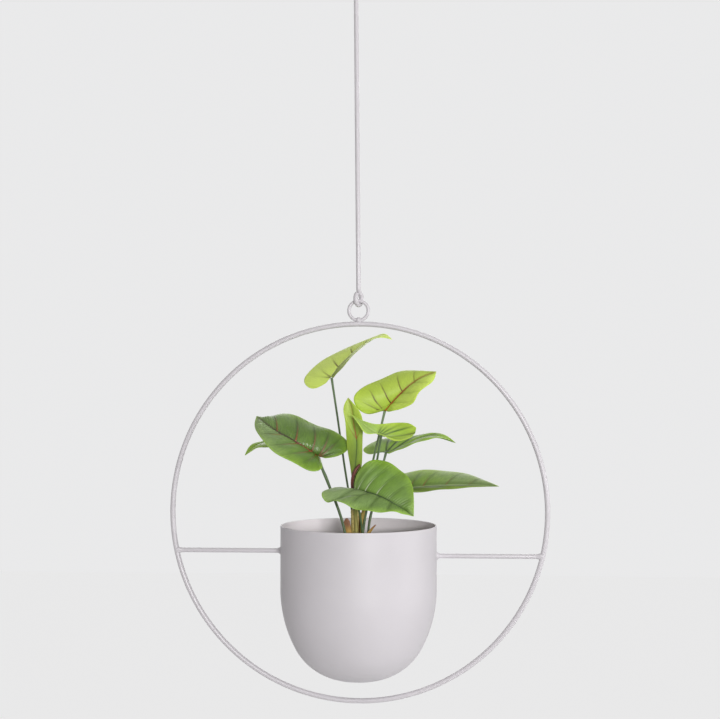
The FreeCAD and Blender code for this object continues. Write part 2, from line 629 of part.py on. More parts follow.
def stalk(points, blade_foot, radius):
    """A stalk with its foot flat on the soil; its end pierces the blade's foot."""
    foot, second, last, end = (V(*p) for p in (points[0], points[1], points[-1], blade_foot))
    root = foot - (second - foot).normalize() * radius
    end += (end - last).normalize() * size("leaf_thickness") / 2
    return tube([root] + points[1:] + [end], radius).cut(BELOW_SOIL)


grown = []
for name, (stalk_points, rib, left, right) in PLANT.items():
    radius = size("thick_stalk" if name == "big_left" else "stalk_radius")
    # the saddle leaf's two lobes reach behind its stalk, the others' ribs start at it
    stalk_shape = stalk(stalk_points, rib[1 if name == "saddle" else 0], radius)
    # the blade closes round the stalk's end and touches it face to face
    leaf_shape = max(blade(rib, left, right).cut(stalk_shape).Solids, key=lambda s: s.Volume)
    grown += [planted("stalk_" + name, stalk_shape), planted("leaf_" + name, leaf_shape)]

# dry sheaths stand by the stems, and a dark bract rises from the main stem's top
SHEATHS = {
    "left_sheath": ((-10.5, -1.5, 0), (-1, 0, 32)),
    "right_sheath": ((9.5, -6, 0), (7, -1, 28)),
}
for name, (spot, way) in SHEATHS.items():
    cone = Part.makeCone(size("sheath_foot"), size("sheath_tip"), size("sheath_height"))
    cone.Placement = FreeCAD.Placement(V(*spot), FreeCAD.Rotation(V(0, 0, 1), V(*way)))
    grown.append(planted(name, cone.cut(BELOW_SOIL)))
bract_foot = (-size("stem_side"), 0, size("stem_height"))
bract_points = [bract_foot, (-size("stem_side"), 0, size("stem_height") + 7), (-6, -20, 66),
                (-1.5, -21, 86)]
grown.append(planted("bract", tube(bract_points, size("bract_radius"))))
doc.recompute()

# ---------------------------------------------------------------- checks and export
for thing in doc.Objects:
    if any(state in ("Invalid", "Error") for state in thing.State):
        raise RuntimeError("%s failed: %s" % (thing.Name, thing.State))
pieces = [plate, hook, rod, pot, hoop, eyelet, left_arm, right_arm, nursery, soil, stem, stub]
pieces += grown
os.makedirs("parts", exist_ok=True)
for piece in pieces:
    shape = piece.Shape
    if shape.isNull() or not shape.isValid() or len(shape.Solids) != 1:
        raise RuntimeError("%s is not one valid solid" % piece.Label)
    print("%-20s %10.1f mm3" % (piece.Label, shape.Volume))
for piece in pieces:
    piece.Shape.exportStep("parts/%s.step" % piece.Label)
print("%d pieces" % len(pieces))
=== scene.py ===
# %% [markdown]
# # A hanging planter with a leafy plant
#
# A bowl-bottomed steel pot sits in the middle of a wire hoop. The hoop hangs by a small
# eyelet from a long bent rod, and the rod from a hook under a ceiling plate. A plant in a
# plain plastic pot stands inside and lifts out.
#
# The solids of the metal parts are already exact, so this lesson loads them as a frame and
# spends its effort on what solids can't show: paint, welds, soil, stems and leaves. Every
# new shape is a surface worked out with numpy: a grid of points that is a function of two
# parameters. Lengths are typed in millimetres, as a maker would read them off a rule, and
# turned to metres when a mesh is made.

# %% Load the frame
import math

import bpy
import numpy as np
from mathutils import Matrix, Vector


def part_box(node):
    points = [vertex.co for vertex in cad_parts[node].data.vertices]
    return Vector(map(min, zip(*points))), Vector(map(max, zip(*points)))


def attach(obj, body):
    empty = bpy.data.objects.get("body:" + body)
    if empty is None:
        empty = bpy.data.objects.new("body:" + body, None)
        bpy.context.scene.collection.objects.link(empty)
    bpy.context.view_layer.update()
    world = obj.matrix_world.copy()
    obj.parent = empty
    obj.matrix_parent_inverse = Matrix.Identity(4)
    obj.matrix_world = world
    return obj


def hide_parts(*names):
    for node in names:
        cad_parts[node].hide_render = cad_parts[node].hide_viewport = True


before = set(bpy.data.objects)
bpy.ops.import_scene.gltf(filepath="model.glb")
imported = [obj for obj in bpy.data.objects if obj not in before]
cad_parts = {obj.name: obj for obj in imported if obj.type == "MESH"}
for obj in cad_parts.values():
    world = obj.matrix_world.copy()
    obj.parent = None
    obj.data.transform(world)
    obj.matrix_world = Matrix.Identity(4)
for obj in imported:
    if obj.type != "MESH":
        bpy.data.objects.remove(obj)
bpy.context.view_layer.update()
MM = 0.001


def middle_and_size(node):
    """The middle and the size of a node's box, in millimetres."""
    low, high = (np.array(corner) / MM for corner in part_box(node))
    return (low + high) / 2, high - low


hoop_middle, hoop_size = middle_and_size("hoop")
soil_middle, soil_size = middle_and_size("potting_soil")
soil_top = soil_middle + np.array([0, 0, soil_size[2] / 2])
print("hoop %.1f mm across, its middle at %.1f mm" % (hoop_size[0], hoop_middle[2]))
print("soil top at %.1f mm" % soil_top[2])

# %% [markdown]
# ## The camera
#
# The planter is looked at from a little over a metre away, slightly from the right and
# slightly from below. A camera turns its own -Z axis to what it looks at, so its place is
# the target plus a distance along the way back, and `to_track_quat` gives the turn.

# %% Camera
VIEW_TURN, VIEW_RISE = math.radians(3.53), math.radians(-1.92)
VIEW_DISTANCE = 1.1986              # metres
AIM_RIGHT, AIM_RISE = 1.4, 146.3    # where it aims, from the hoop's middle
VIEW_TARGET = Vector((AIM_RIGHT * MM, 0, (hoop_middle[2] + AIM_RISE) * MM))

way_back = Vector((math.sin(VIEW_TURN) * math.cos(VIEW_RISE),
                   -math.cos(VIEW_TURN) * math.cos(VIEW_RISE), math.sin(VIEW_RISE)))
lens = bpy.data.cameras.new("camera")
lens.lens, lens.sensor_width = 62.0, 36.0
camera = bpy.data.objects.new("camera", lens)
camera.location = VIEW_TARGET + way_back * VIEW_DISTANCE
camera.rotation_euler = (-way_back).to_track_quat("-Z", "Y").to_euler()
bpy.context.scene.collection.objects.link(camera)
bpy.context.scene.camera = camera
bpy.context.scene.view_settings.view_transform = "Standard"
print("camera at", [round(x, 3) for x in camera.location])

# %% [markdown]
# ## Small helpers for finishes
#
# A finish is a tree of shader nodes. `step` adds one node to the tree, fills or links its
# inputs, and hands back one of its outputs, so that a recipe reads from top to bottom. The
# other helpers are steps that come up often: a blend, a range, a noise, fine relief.


# %% Finish helpers
def new_finish(name, **constants):
    """A material with a Principled shader; constants are set on the shader's own sockets."""
    finish = bpy.data.materials.new(name)
    finish.use_nodes = True
    tree = finish.node_tree
    shader = tree.nodes["Principled BSDF"]
    for socket, value in constants.items():
        shader.inputs[socket.replace("_", " ")].default_value = value
    return finish, tree, shader


def step(tree, kind, inputs=(), output=0, **settings):
    """Add one shader node, fill or link its inputs, and hand back one of its outputs."""
    node = tree.nodes.new("ShaderNode" + kind)
    for key, value in settings.items():
        setattr(node, key, value)
    for socket, value in dict(inputs).items():
        if isinstance(value, bpy.types.NodeSocket):
            tree.links.new(value, node.inputs[socket])
        else:
            node.inputs[socket].default_value = value
    return node.outputs[output]


def mixed(tree, factor, first, second):
    """Two colours blended by a factor; each may be a colour or another node's output."""
    colour = [c if isinstance(c, bpy.types.NodeSocket) else (*c, 1) for c in (first, second)]
    return step(tree, "Mix", {0: factor, 6: colour[0], 7: colour[1]}, 2, data_type="RGBA")


def ramp(tree, value, low, high, to_low=0.0, to_high=1.0):
    """A number moved from one range to another and kept inside it."""
    return step(tree, "MapRange", {0: value, 1: low, 2: high, 3: to_low, 4: to_high})


def noise(tree, where, scale, detail=3.0, rough=0.5):
    """Soft random patches; scale is how many fit in a metre, or in one unit of a UV map."""
    return step(tree, "TexNoise", {"Vector": where, "Scale": scale, "Detail": detail,
                                   "Roughness": rough})


def bumped(tree, shader, height, strength, depth):
    """Fine relief on a shader: height from 0 to 1 stands for depth in metres."""
    tree.links.new(step(tree, "Bump", {"Strength": strength, "Distance": depth,
                                       "Height": height}), shader.inputs["Normal"])


def coated(tree, shader, colour, sheen, rough, height, strength, depth):
    """Plug in a colour, a roughness that follows `sheen`, and relief from `height`."""
    tree.links.new(colour, shader.inputs["Base Color"])
    tree.links.new(ramp(tree, sheen, 0.3, 0.7, *rough), shader.inputs["Roughness"])
    bumped(tree, shader, height, strength, depth)


def place_of(tree):
    """Where a point is on its object, in metres."""
    return step(tree, "TexCoord", output=3)


def darker(colour, share):
    """A share of a colour."""
    return [c * share for c in colour]


# %% [markdown]
# ## Powder coat
#
# Hoop, rod, arms and pot share one paint: a warm light grey powder, baked until it flows.
# It never flows quite flat, so it keeps a fine orange peel, and its sheen varies a little.
# Two noises do this: a slow one shifts colour and roughness, a fast one makes the peel.
#
# The pot's inner wall takes a lighter colour than its outside: painted light, standing in
# for the light a bright room throws into a pot, more than four lamps do. A point is on the
# inner wall where the surface faces the axis, so where the vector from the axis and the
# facing point against each other.


# %% Powder coat
WORN = 0.955                        # how much darker the paint's slow patches are


def powder_coat(name, shade, peel, dull, fleck, painted_inside_light=None):
    """Paint with an orange peel, a roughness and dark flecks; inner walls may get painted light.
    """
    finish, tree, shader = new_finish(name)
    where = place_of(tree)
    worn = darker(shade, WORN)
    # painted light: inner walls take the lighter colour in place of the paint's own
    if painted_inside_light:
        spoke = step(tree, "VectorMath", {0: where, 1: (1, 1, 0)}, operation="MULTIPLY")
        facing = step(tree, "VectorMath", {0: spoke, 1: step(tree, "TexCoord", output=1)}, 1,
                      operation="DOT_PRODUCT")
        inner = ramp(tree, facing, -0.03, -0.05)
        shade, worn = (mixed(tree, inner, darker(shade, share), darker(painted_inside_light, share))
                       for share in (1, WORN))
    cloud = noise(tree, where, 14.0, 4.0)
    grit = noise(tree, where, 2600.0, 1.0)
    tone = mixed(tree, ramp(tree, cloud, 0.3, 0.7), shade, worn)
    speck = mixed(tree, ramp(tree, grit, 0.60, 0.8, 0, fleck), tone, worn)
    coated(tree, shader, speck, cloud, (dull, dull + 0.1), noise(tree, where, 450.0, 1.0),
           peel, 0.0001)
    return finish


# the second colour is painted light on the pot's inner wall
PAINT, PAINTED_INSIDE_LIGHT = (0.635, 0.610, 0.640), (0.845, 0.792, 0.822)
paint = powder_coat("paint", PAINT, 0.08, 0.40, 0.08, PAINTED_INSIDE_LIGHT)
wire_paint = powder_coat("wire_paint", PAINT, 0.008, 0.26, 0.03)


def dress(node, finish):
    """Give a solid of the frame its finish."""
    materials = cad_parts[node].data.materials
    materials.clear()
    materials.append(finish)


dress("ceiling_plate", paint)
dress("planter_pot", paint)

# %% [markdown]
# ## The inner pot
#
# The plant stands in a thin black pot of blown plastic. It is dull, a little dusty, and
# shows faint upright flow lines, which a noise stretched along Z gives.

# %% Inner pot
black, tree, shader = new_finish("black_plastic")
where = place_of(tree)
flow = noise(tree, step(tree, "Mapping", {"Vector": where, "Scale": (1, 1, 0.06)}), 260.0)
dusty = mixed(tree, ramp(tree, flow, 0.3, 0.75), (0.020, 0.020, 0.022),
              (0.045, 0.043, 0.042))
coated(tree, shader, dusty, flow, (0.45, 0.62), flow, 0.3, 0.0003)
dress("nursery_pot", black)

# %% [markdown]
# ## Surfaces from grids
#
# A grid of points with `rows` along and `columns` across becomes a mesh when each cell is
# one four-cornered face. If the last column is joined to the first, the grid is a tube.
# Its two open ends can then be closed by faces that join each point to its mirror point.


# %% Surface helpers
def grid_faces(rows, columns, ring=False, loop=False):
    """Faces of a grid whose point (r, c) has the number r * columns + c."""
    r, c = np.meshgrid(np.arange(rows if loop else rows - 1),
                       np.arange(columns if ring else columns - 1), indexing="ij")
    r_next, c_next = (r + 1) % rows, (c + 1) % columns
    corners = [r * columns + c, r * columns + c_next, r_next * columns + c_next,
               r_next * columns + c]
    return np.stack(corners, axis=-1).reshape(-1, 4)


def tube_faces(rows, sides):
    """Faces of a tube of `rows` rings, with a cap of four-cornered faces at each end."""
    c = np.arange(sides // 2 - 1)
    cap = np.stack([c, c + 1, sides - 2 - c, sides - 1 - c], axis=-1)
    return np.concatenate([grid_faces(rows, sides, ring=True), cap[:, ::-1],
                           cap + (rows - 1) * sides])


def turns(count):
    """Angles that are spread evenly over one turn."""
    return np.linspace(0, 2 * math.pi, count, endpoint=False)


def as_mesh(name, points, faces, finish, values=None, lines=None):
    """A smooth mesh object from points in millimetres; values are per-point attributes."""
    mesh = bpy.data.meshes.new(name)
    mesh.from_pydata((points.reshape(-1, 3) * MM).tolist(), [], faces.tolist())
    for key, value in (values or {}).items():
        mesh.attributes.new(key, "FLOAT", "POINT").data.foreach_set(
            "value", np.ascontiguousarray(value, dtype=np.float32).ravel())
    if lines is not None:
        corner = np.zeros(len(mesh.loops), dtype=np.int32)
        mesh.loops.foreach_get("vertex_index", corner)
        mesh.uv_layers.new(name="lines").data.foreach_set(
            "uv", lines.reshape(-1, 2)[corner].astype(np.float32).ravel())
    mesh.shade_smooth()
    mesh.materials.append(finish)
    piece = bpy.data.objects.new(name, mesh)
    bpy.context.scene.collection.objects.link(piece)
    return piece


def smooth_curve(points, shares):
    """A natural cubic spline through points, read at shares of its length from 0 to 1.

    Between two points the curve is a cubic. Neighbouring cubics agree in direction and
    bend, and the curve doesn't bend at its two ends: a small set of linear equations.
    """
    points, shares = np.asarray(points, float), np.asarray(shares, float)
    knots = np.concatenate([[0], np.linalg.norm(np.diff(points, axis=0), axis=1).cumsum()])
    knots /= knots[-1]
    gap, n = np.diff(knots), len(points)
    system, wanted = np.eye(n), np.zeros((n, 3))
    inner = np.arange(1, n - 1)
    system[inner, inner - 1] = gap[:-1]
    system[inner, inner] = 2 * (gap[:-1] + gap[1:])
    system[inner, inner + 1] = gap[1:]
    slope = np.diff(points, axis=0) / gap[:, None]
    wanted[inner] = 6 * np.diff(slope, axis=0)
    bend = np.linalg.solve(system, wanted)
    k = np.clip(np.searchsorted(knots, shares, side="right") - 1, 0, n - 2)
    b = ((shares - knots[k]) / gap[k])[:, None]
    a = 1 - b
    return (a * points[k] + b * points[k + 1]
            + ((a ** 3 - a) * bend[k] + (b ** 3 - b) * bend[k + 1]) * gap[k][:, None] ** 2 / 6)


def unit(vectors):
    """Vectors of length 1 with the same directions."""
    return vectors / np.maximum(np.linalg.norm(vectors, axis=-1, keepdims=True), 1e-12)


def settle(piece, body, slot, *nodes):
    """Let a piece move with a body and stand for some of its solids."""
    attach(piece, body)
    if nodes:
        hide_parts(*nodes)
    print("%-18s %6d faces" % (piece.name, len(piece.data.polygons)))


# %% [markdown]
# ## Wires
#
# Hook, rod, hoop, eyelet and arms are steel wire. The hook and the rod are bent in one
# plane: straight runs that join in arcs. So a wire is a list of arcs and runs, turned into
# closely spaced points, and a circle carried along them. The circle's two directions are
# the plane's own, so the wire never twists. Its ends are rounded off, as a dip in paint
# leaves them.


# %% Wires
WIRE_SIDES, TURNED_SIDES = 28, 48


def arc_points(x, z, radius, start, end):
    """Points (x + radius cos a, z + radius sin a), a in degrees, about one each 2 degrees."""
    a = np.radians(np.linspace(start, end, max(3, int(abs(end - start) / 2))))
    return np.stack([x + radius * np.cos(a), z + radius * np.sin(a)], axis=1)


def bent_wire(name, parts, radius, lift, turn):
    """A wire in the upright plane that is turned by `turn` degrees about Z and lifted.

    ring point = path + radius * (cos a * square to the path in the plane + sin a * square
    to the plane); at both ends the radius follows a quarter circle down to nothing.
    """
    path = np.concatenate(parts)
    path = path[np.append(True, np.linalg.norm(np.diff(path, axis=0), axis=1) > 1e-6)]
    ahead = unit(np.gradient(path, axis=0))
    dome = np.radians([8, 25, 45, 65, 82])
    dome_deep = 0.6 * radius

    def end_rings(end, way):
        """Ring middles from the tip of a domed end back to where it is full."""
        return end - way * dome_deep + way * dome_deep * np.cos(dome)[:, None]

    middles = np.concatenate([end_rings(path[0], -ahead[0]), path[1:-1],
                              end_rings(path[-1], ahead[-1])[::-1]])
    size = np.concatenate([np.sin(dome), np.ones(len(path) - 2), np.sin(dome)[::-1]]) * radius
    ahead = np.concatenate([np.repeat(ahead[:1], len(dome), 0), ahead[1:-1],
                            np.repeat(ahead[-1:], len(dome), 0)])
    a = turns(WIRE_SIDES)
    square = np.stack([ahead[:, 1], -ahead[:, 0]], axis=1)
    flat = middles[:, None] + (size[:, None] * np.cos(a))[..., None] * square[:, None]
    out = size[:, None] * np.sin(a)
    t = math.radians(turn)
    rings = np.stack([flat[..., 0] * math.cos(t) - out * math.sin(t),
                      flat[..., 0] * math.sin(t) + out * math.cos(t), flat[..., 1] + lift], -1)
    return as_mesh(name, rings, tube_faces(len(middles), WIRE_SIDES), wire_paint)


def wire_ring(name, level, bend, radius, steps):
    """A ring that faces the front: ((bend + radius cos b) cos a, radius sin b, level + (bend
    + radius cos b) sin a)."""
    a, b = turns(steps)[:, None], turns(WIRE_SIDES)[None, :]
    far = bend + radius * np.cos(b)
    rings = np.stack([far * np.cos(a), radius * np.sin(b) + 0 * a, level + far * np.sin(a)], -1)
    return as_mesh(name, rings, grid_faces(steps, WIRE_SIDES, ring=True, loop=True), wire_paint)


def turned_piece(name, along, radius, place):
    """A profile carried round the X or Z axis: place says where (along, y, z) ends up."""
    a = turns(TURNED_SIDES)[None, :]
    rings = place(along[:, None] + 0 * a, radius[:, None] * np.cos(a),
                  radius[:, None] * np.sin(a))
    return as_mesh(name, rings, tube_faces(len(along), TURNED_SIDES), wire_paint)


# %% [markdown]
# ## Hook and rod
#
# The hook's wire comes down from the plate, swings aside and goes round under its own axis.
# The rod's upper eye is a loop with the shank at its side; its lower eye is centred under
# the shank. The neck's turn follows from the two radii: cos turn = neck / (bend + neck).

# %% Hook and rod
EYE_TURN = 66.0                     # both eyes face this far round from the front
PLATE_THICK, BOSS_DEEP, BOSS_WIDE = 4.0, 5.0, 14.0


def neck_of(bend, neck, drop):
    """The neck's turn in degrees, and the level where it starts above the bend."""
    turn = math.degrees(math.acos(neck / (bend + neck)))
    return turn, -drop + (bend + neck) * math.sin(math.radians(turn))


HOOK_BEND, HOOK_NECK, HOOK_DROP, HOOK_RISE, HOOK_WIRE = 8.0, 8.0, 30.0, 25.0, 2.5
turn, start = neck_of(HOOK_BEND, HOOK_NECK, HOOK_DROP)
stem = np.stack([np.zeros(40), np.linspace(-1, start, 40)], axis=1)
neck = arc_points(HOOK_NECK, start, HOOK_NECK, 180, 180 + turn)
bend = arc_points(0, -HOOK_DROP, HOOK_BEND, 360 + turn, 180 - HOOK_RISE)
settle(bent_wire("hook_wire", [stem, neck, bend], HOOK_WIRE, -PLATE_THICK, EYE_TURN - 90),
       "ceiling_mount", "powder_coat", "ceiling_hook")

BOSS_EDGE, BOSS_MOUTH = 1.2, 2.2    # the rounded edge, and the hole that the wire fills
corner = np.radians(np.linspace(0, 90, 9))
deep = np.concatenate([[0.0], BOSS_DEEP - BOSS_EDGE + BOSS_EDGE * np.sin(corner), [BOSS_DEEP]])
wide = np.concatenate([[BOSS_WIDE / 2], BOSS_WIDE / 2 - BOSS_EDGE + BOSS_EDGE * np.cos(corner),
                       [BOSS_MOUTH]])
settle(turned_piece("hook_boss", deep, wide, lambda h, u, v: np.stack(
    [u, -v, -PLATE_THICK - h], axis=-1)), "ceiling_mount", "powder_coat")

ROD_WIRE, ROD_SPAN, EYE_BEND, EYE_NECK, EYE_SLIT = 2.25, 340.0, 6.0, 6.0, 0.4
UPPER_EYE = hoop_middle[2] + 545.1
turn, start = neck_of(EYE_BEND, EYE_NECK, ROD_SPAN)
slit = EYE_NECK + 2 * ROD_WIRE + EYE_SLIT
reach = EYE_BEND + EYE_NECK
to_slit = math.degrees(math.acos((reach ** 2 + EYE_BEND ** 2 - slit ** 2)
                                 / (2 * EYE_BEND * reach)))
upper = arc_points(0, 0, EYE_BEND, 270, 540)
shank = np.linspace([-EYE_BEND, 0], [0, start], 140)
neck = arc_points(EYE_NECK, start, EYE_NECK, 180, 180 + turn)
lower = arc_points(0, -ROD_SPAN, EYE_BEND, 360 + turn, turn + to_slit)
settle(bent_wire("long_rod", [upper, shank, neck, lower], ROD_WIRE, UPPER_EYE, EYE_TURN),
       "rod", "powder_coat", "hanging_rod")

# %% [markdown]
# ## Hoop, eyelet and arms
#
# The hoop and the eyelet are plain rings. Where two wires meet there is a weld: the wire
# flares out in a small hollow curve, and the molten metal froze in fine ripples. The arm is
# a profile carried round the X axis whose radius grows at both ends by (1 - t) squared.

# %% Hoop, eyelet and arms
HOOP_BEND, HOOP_WIRE = 180.7, 2.5
EYELET_BEND, EYELET_WIRE, EYELET_RISE = 9.35, 1.65, 193.7
eyelet_level = hoop_middle[2] + EYELET_RISE
settle(wire_ring("wire_hoop", hoop_middle[2], HOOP_BEND, HOOP_WIRE, 720), "hoop_frame",
       "powder_coat", "hoop")
settle(wire_ring("wire_eyelet", eyelet_level, EYELET_BEND, EYELET_WIRE, 160), "hoop_frame",
       "powder_coat", "eyelet")

WELD_LONG, WELD_DEEP, WELD_TALL = 3.25, 2.5, 3.0    # half sizes
a = np.linspace(0.02, math.pi - 0.02, 41)
ripple = 1 + 0.018 * np.sin(14 * a)
settle(turned_piece("eyelet_weld", -WELD_LONG * np.cos(a), np.sin(a) * ripple,
                    lambda h, u, v: np.stack([h, WELD_DEEP * u, eyelet_level - EYELET_BEND
                                              + WELD_TALL * v], axis=-1)),
       "hoop_frame", "powder_coat")

POT_RADIUS, RIM_DROP, ARM_WIRE, BEAD_REACH = 75.0, 13.0, 2.25, 4.0
HOOP_BEAD, POT_BEAD, RIPPLE, RIPPLE_PITCH = 3.2, 4.5, 0.07, 0.8
for node, way, drop in (("left_arm", -1, 25.0), ("right_arm", 1, 29.0)):
    level = hoop_middle[2] - RIM_DROP - drop
    outer = math.sqrt(HOOP_BEND ** 2 - (hoop_middle[2] - level) ** 2)
    x = np.unique(np.concatenate([np.linspace(POT_RADIUS - 0.7, POT_RADIUS + 7, 50),
                                  np.linspace(POT_RADIUS + 7, outer - 9, 60),
                                  np.linspace(outer - 9, outer, 50)]))
    by_pot = np.clip((x - POT_RADIUS) / BEAD_REACH, 0, 1)
    by_hoop = np.clip((outer - HOOP_WIRE - x) / BEAD_REACH, 0, 1)
    frozen = RIPPLE * np.sin(2 * math.pi * x / RIPPLE_PITCH)
    radius = ARM_WIRE + (POT_BEAD - ARM_WIRE + frozen) * (1 - by_pot) ** 2 \
        + (HOOP_BEAD - ARM_WIRE + frozen) * (1 - by_hoop) ** 2
    settle(turned_piece(node.replace("arm", "arm_wire"), x, radius, lambda h, u, v:
                        np.stack([way * h, way * u, level + v], axis=-1)),
           "hoop_frame", "powder_coat", node)

# %% [markdown]
# ## Closed sheets
#
# Leaves and the dry scales at the stem's foot are thin sheets. A sheet starts as one grid of
# points. Each point is pushed half a thickness to both sides along the sheet's facing, which
# gives an upper and a lower grid. Side by side they make one ring of columns, and two caps
# close its ends, so the sheet is a solid with no open edge.


# %% Closed sheets
def facing_of(points):
    """The unit direction square to a grid, from the steps across and along it."""
    return unit(np.cross(np.gradient(points, axis=1), np.gradient(points, axis=0)))


def closed_sheet(name, points, thick, finish, values=None, lines=None):
    """upper = points + facing * thick / 2, lower = points - facing * thick / 2."""
    facing = facing_of(points)
    push = facing * np.asarray(thick)[..., None] / 2
    both = np.concatenate([points + push, (points - push)[:, ::-1]], axis=1)
    rows, columns = both.shape[:2]
    faces = tube_faces(rows, columns)[:, ::-1]
    told = {key: np.concatenate([value, value[:, ::-1]], axis=1)
            for key, value in (values or {}).items()}
    told["back"] = np.zeros((rows, columns))
    told["back"][:, columns // 2:] = 1
    if lines is not None:
        lines = np.concatenate([lines, lines[:, ::-1]], axis=1)
    return as_mesh(name, both, faces, finish, told, lines)


# %% [markdown]
# ## Leaf finish
#
# Each leaf carries its own maps, in numbers that run smoothly over the blade: how far a
# point is from the rib and from the margin in millimetres, and its `order`, which is a whole
# number on each side vein. The distance to the nearest vein is then the distance from
# `order` to a whole number times the `gap` between two veins. Because those numbers are
# smooth, the finish can draw lines from them that are finer than the mesh.
#
# Colour is built up as a painter would: the blade's heart, a yellow-green margin, fine
# fibres along the veins, painted shade on one side of each vein, the vein's own ink, and
# the rib, which changes colour on its way to the tip. The tone map is painted light and
# shade: parts of a blade turn pale where it is above 0, and dark where it is below.


# %% Leaf finish
def leaf_finish(name, heart, rim, ink, rib, under, gloss=0.40, ink_width=0.28, painted_sheen=0.0,
                pale=(0.33, 0.40, 0.24), rib_turn=(0.04, 0.42), rib_fade=(0.45, 1.0, 0.35),
                rib_width=1.0, rib_shade=(0.35, 3.2), grain=0.60):
    """A leaf's paint. Places are shares of the way from stalk to tip.

    heart, rim, under  colours of the blade, its margin and its underside
    ink, ink_width     the veins: colours near the rib and near the margin, half width in mm
    rib, rib_turn      the rib's colours at the stalk and the tip, and where they change over
    rib_width          the rib's width; 1 is half a millimetre to each side
    rib_fade           where the rib starts to fade, where that ends, what is left of it
    rib_shade          painted shade beside the rib: how dark, and how far it reaches in mm
    pale, haze, grain  painted light's colour at tone 1, strength of painted sheen and fibres
    """
    finish, tree, shader = new_finish(name, Specular_IOR_Level=0.42)
    where = place_of(tree)

    def told(key):
        return step(tree, "Attribute", output=2, attribute_name=key)

    def sum_of(first, second, operation):
        return step(tree, "Math", {0: first, 1: second}, operation=operation)

    def scaled(first, second):
        return sum_of(first, second, "MULTIPLY")

    def over(blade, colour, *mask):
        """Colour laid over the blade; mask is a strength, or the numbers of a ramp."""
        return mixed(tree, ramp(tree, *mask) if len(mask) > 1 else mask[0], blade, colour)

    # where a point is, told from veins, rib and margin, and three noises
    along, rib_mm, edge_mm, tone = (told(key) for key in ("along", "rib_mm", "edge_mm", "tone"))
    order = told("order")
    nearest = step(tree, "Math", {0: order}, operation="ROUND")
    beside = scaled(sum_of(order, nearest, "SUBTRACT"), told("gap"))
    from_vein = step(tree, "Math", {0: beside}, operation="ABSOLUTE")
    lines = step(tree, "UVMap", uv_map="lines")
    share = step(tree, "SeparateXYZ", {0: lines}, 1)
    fibre = noise(tree, step(tree, "Mapping", {"Vector": lines, "Scale": (40, 5, 1)}), 1.0,
                  3.0, 0.6)
    patch = noise(tree, where, 60.0, 4.0, 0.6)
    broad = noise(tree, where, 22.0, 2.0)
    worn = sum_of(edge_mm, scaled(patch, 3.0), "SUBTRACT")

    # the upper side: heart, margin, painted light from the tone map, fibres and painted sheen
    blade = mixed(tree, ramp(tree, broad, 0.35, 0.7, 0, 0.5), heart,
                  [0.5 * (a + b) for a, b in zip(heart, rim)])
    blade = over(blade, rim, worn, 0.0, 9.0, 0.7, 0)
    # painted light: where the tone map is above 0 the blade turns pale
    blade = over(blade, pale, tone, 0, 1)
    blade = over(blade, darker(heart, 0.60), fibre, 0.42, 0.66, 0, grain)
    blade = over(blade, rim, fibre, 0.32, 0.48, 0.22, 0)
    # painted sheen: a grey haze laid over the blade, stronger towards the tip
    blade = over(blade, (0.30, 0.36, 0.24), scaled(patch, along), 0.15, 0.6, 0, painted_sheen)

    # painted shade beside the veins and the rib, then veins, rib, margin and the tone map's
    # shade
    # painted shade beside each vein, stronger on its tip side
    one_side = scaled(ramp(tree, beside, 0.15, 3.4, 0.80, 0), ramp(tree, beside, 0.0, 0.15))
    painted_vein_shade = sum_of(one_side, ramp(tree, from_vein, 0.3, 2.0, 0.35, 0), "MAXIMUM")
    dark = darker(heart, 0.40)
    blade = over(blade, dark, scaled(painted_vein_shade, told("dent")))
    # painted shade beside the rib
    blade = over(blade, dark, rib_mm, 0.9 * rib_width, rib_shade[1], rib_shade[0], 0)
    drawn = scaled(ramp(tree, from_vein, ink_width, ink_width * 2.6, 1, 0), told("reach"))
    blade = over(blade, mixed(tree, ramp(tree, share, 0.08, 0.55), *ink),
                 scaled(drawn, ramp(tree, patch, 0.25, 0.5, 0.45, 1)))
    fade = ramp(tree, along, rib_fade[0], rib_fade[1], 1, rib_fade[2])
    spine = ramp(tree, rib_mm, 0.5 * rib_width, 1.25 * rib_width, 0.95, 0)
    blade = over(blade, mixed(tree, ramp(tree, along, *rib_turn), *rib), scaled(spine, fade))
    blade = over(blade, [min(1, c * 1.12) for c in rim], worn, -1.4, 0.6, 0.55, 0)
    # painted shade: where the tone map is below 0 the blade turns dark
    blade = over(blade, darker(heart, 0.22), tone, 0, -1)

    # the underside, with a pale rib
    back = mixed(tree, ramp(tree, fibre, 0.3, 0.7, 0, 0.5), under, darker(under, 0.78))
    back = over(back, [min(1, c * 1.5) for c in under], rib_mm, 0.5, 1.3, 0.7, 0)
    groove = scaled(ramp(tree, from_vein, 0.0, 1.1, 0, 1), ramp(tree, rib_mm, 0.0, 1.2, 0, 1))
    coated(tree, shader, mixed(tree, told("back"), blade, back), patch,
           (gloss - 0.05, gloss + 0.08), sum_of(groove, scaled(fibre, 0.5), "ADD"), 0.55,
           0.0004)
    return finish


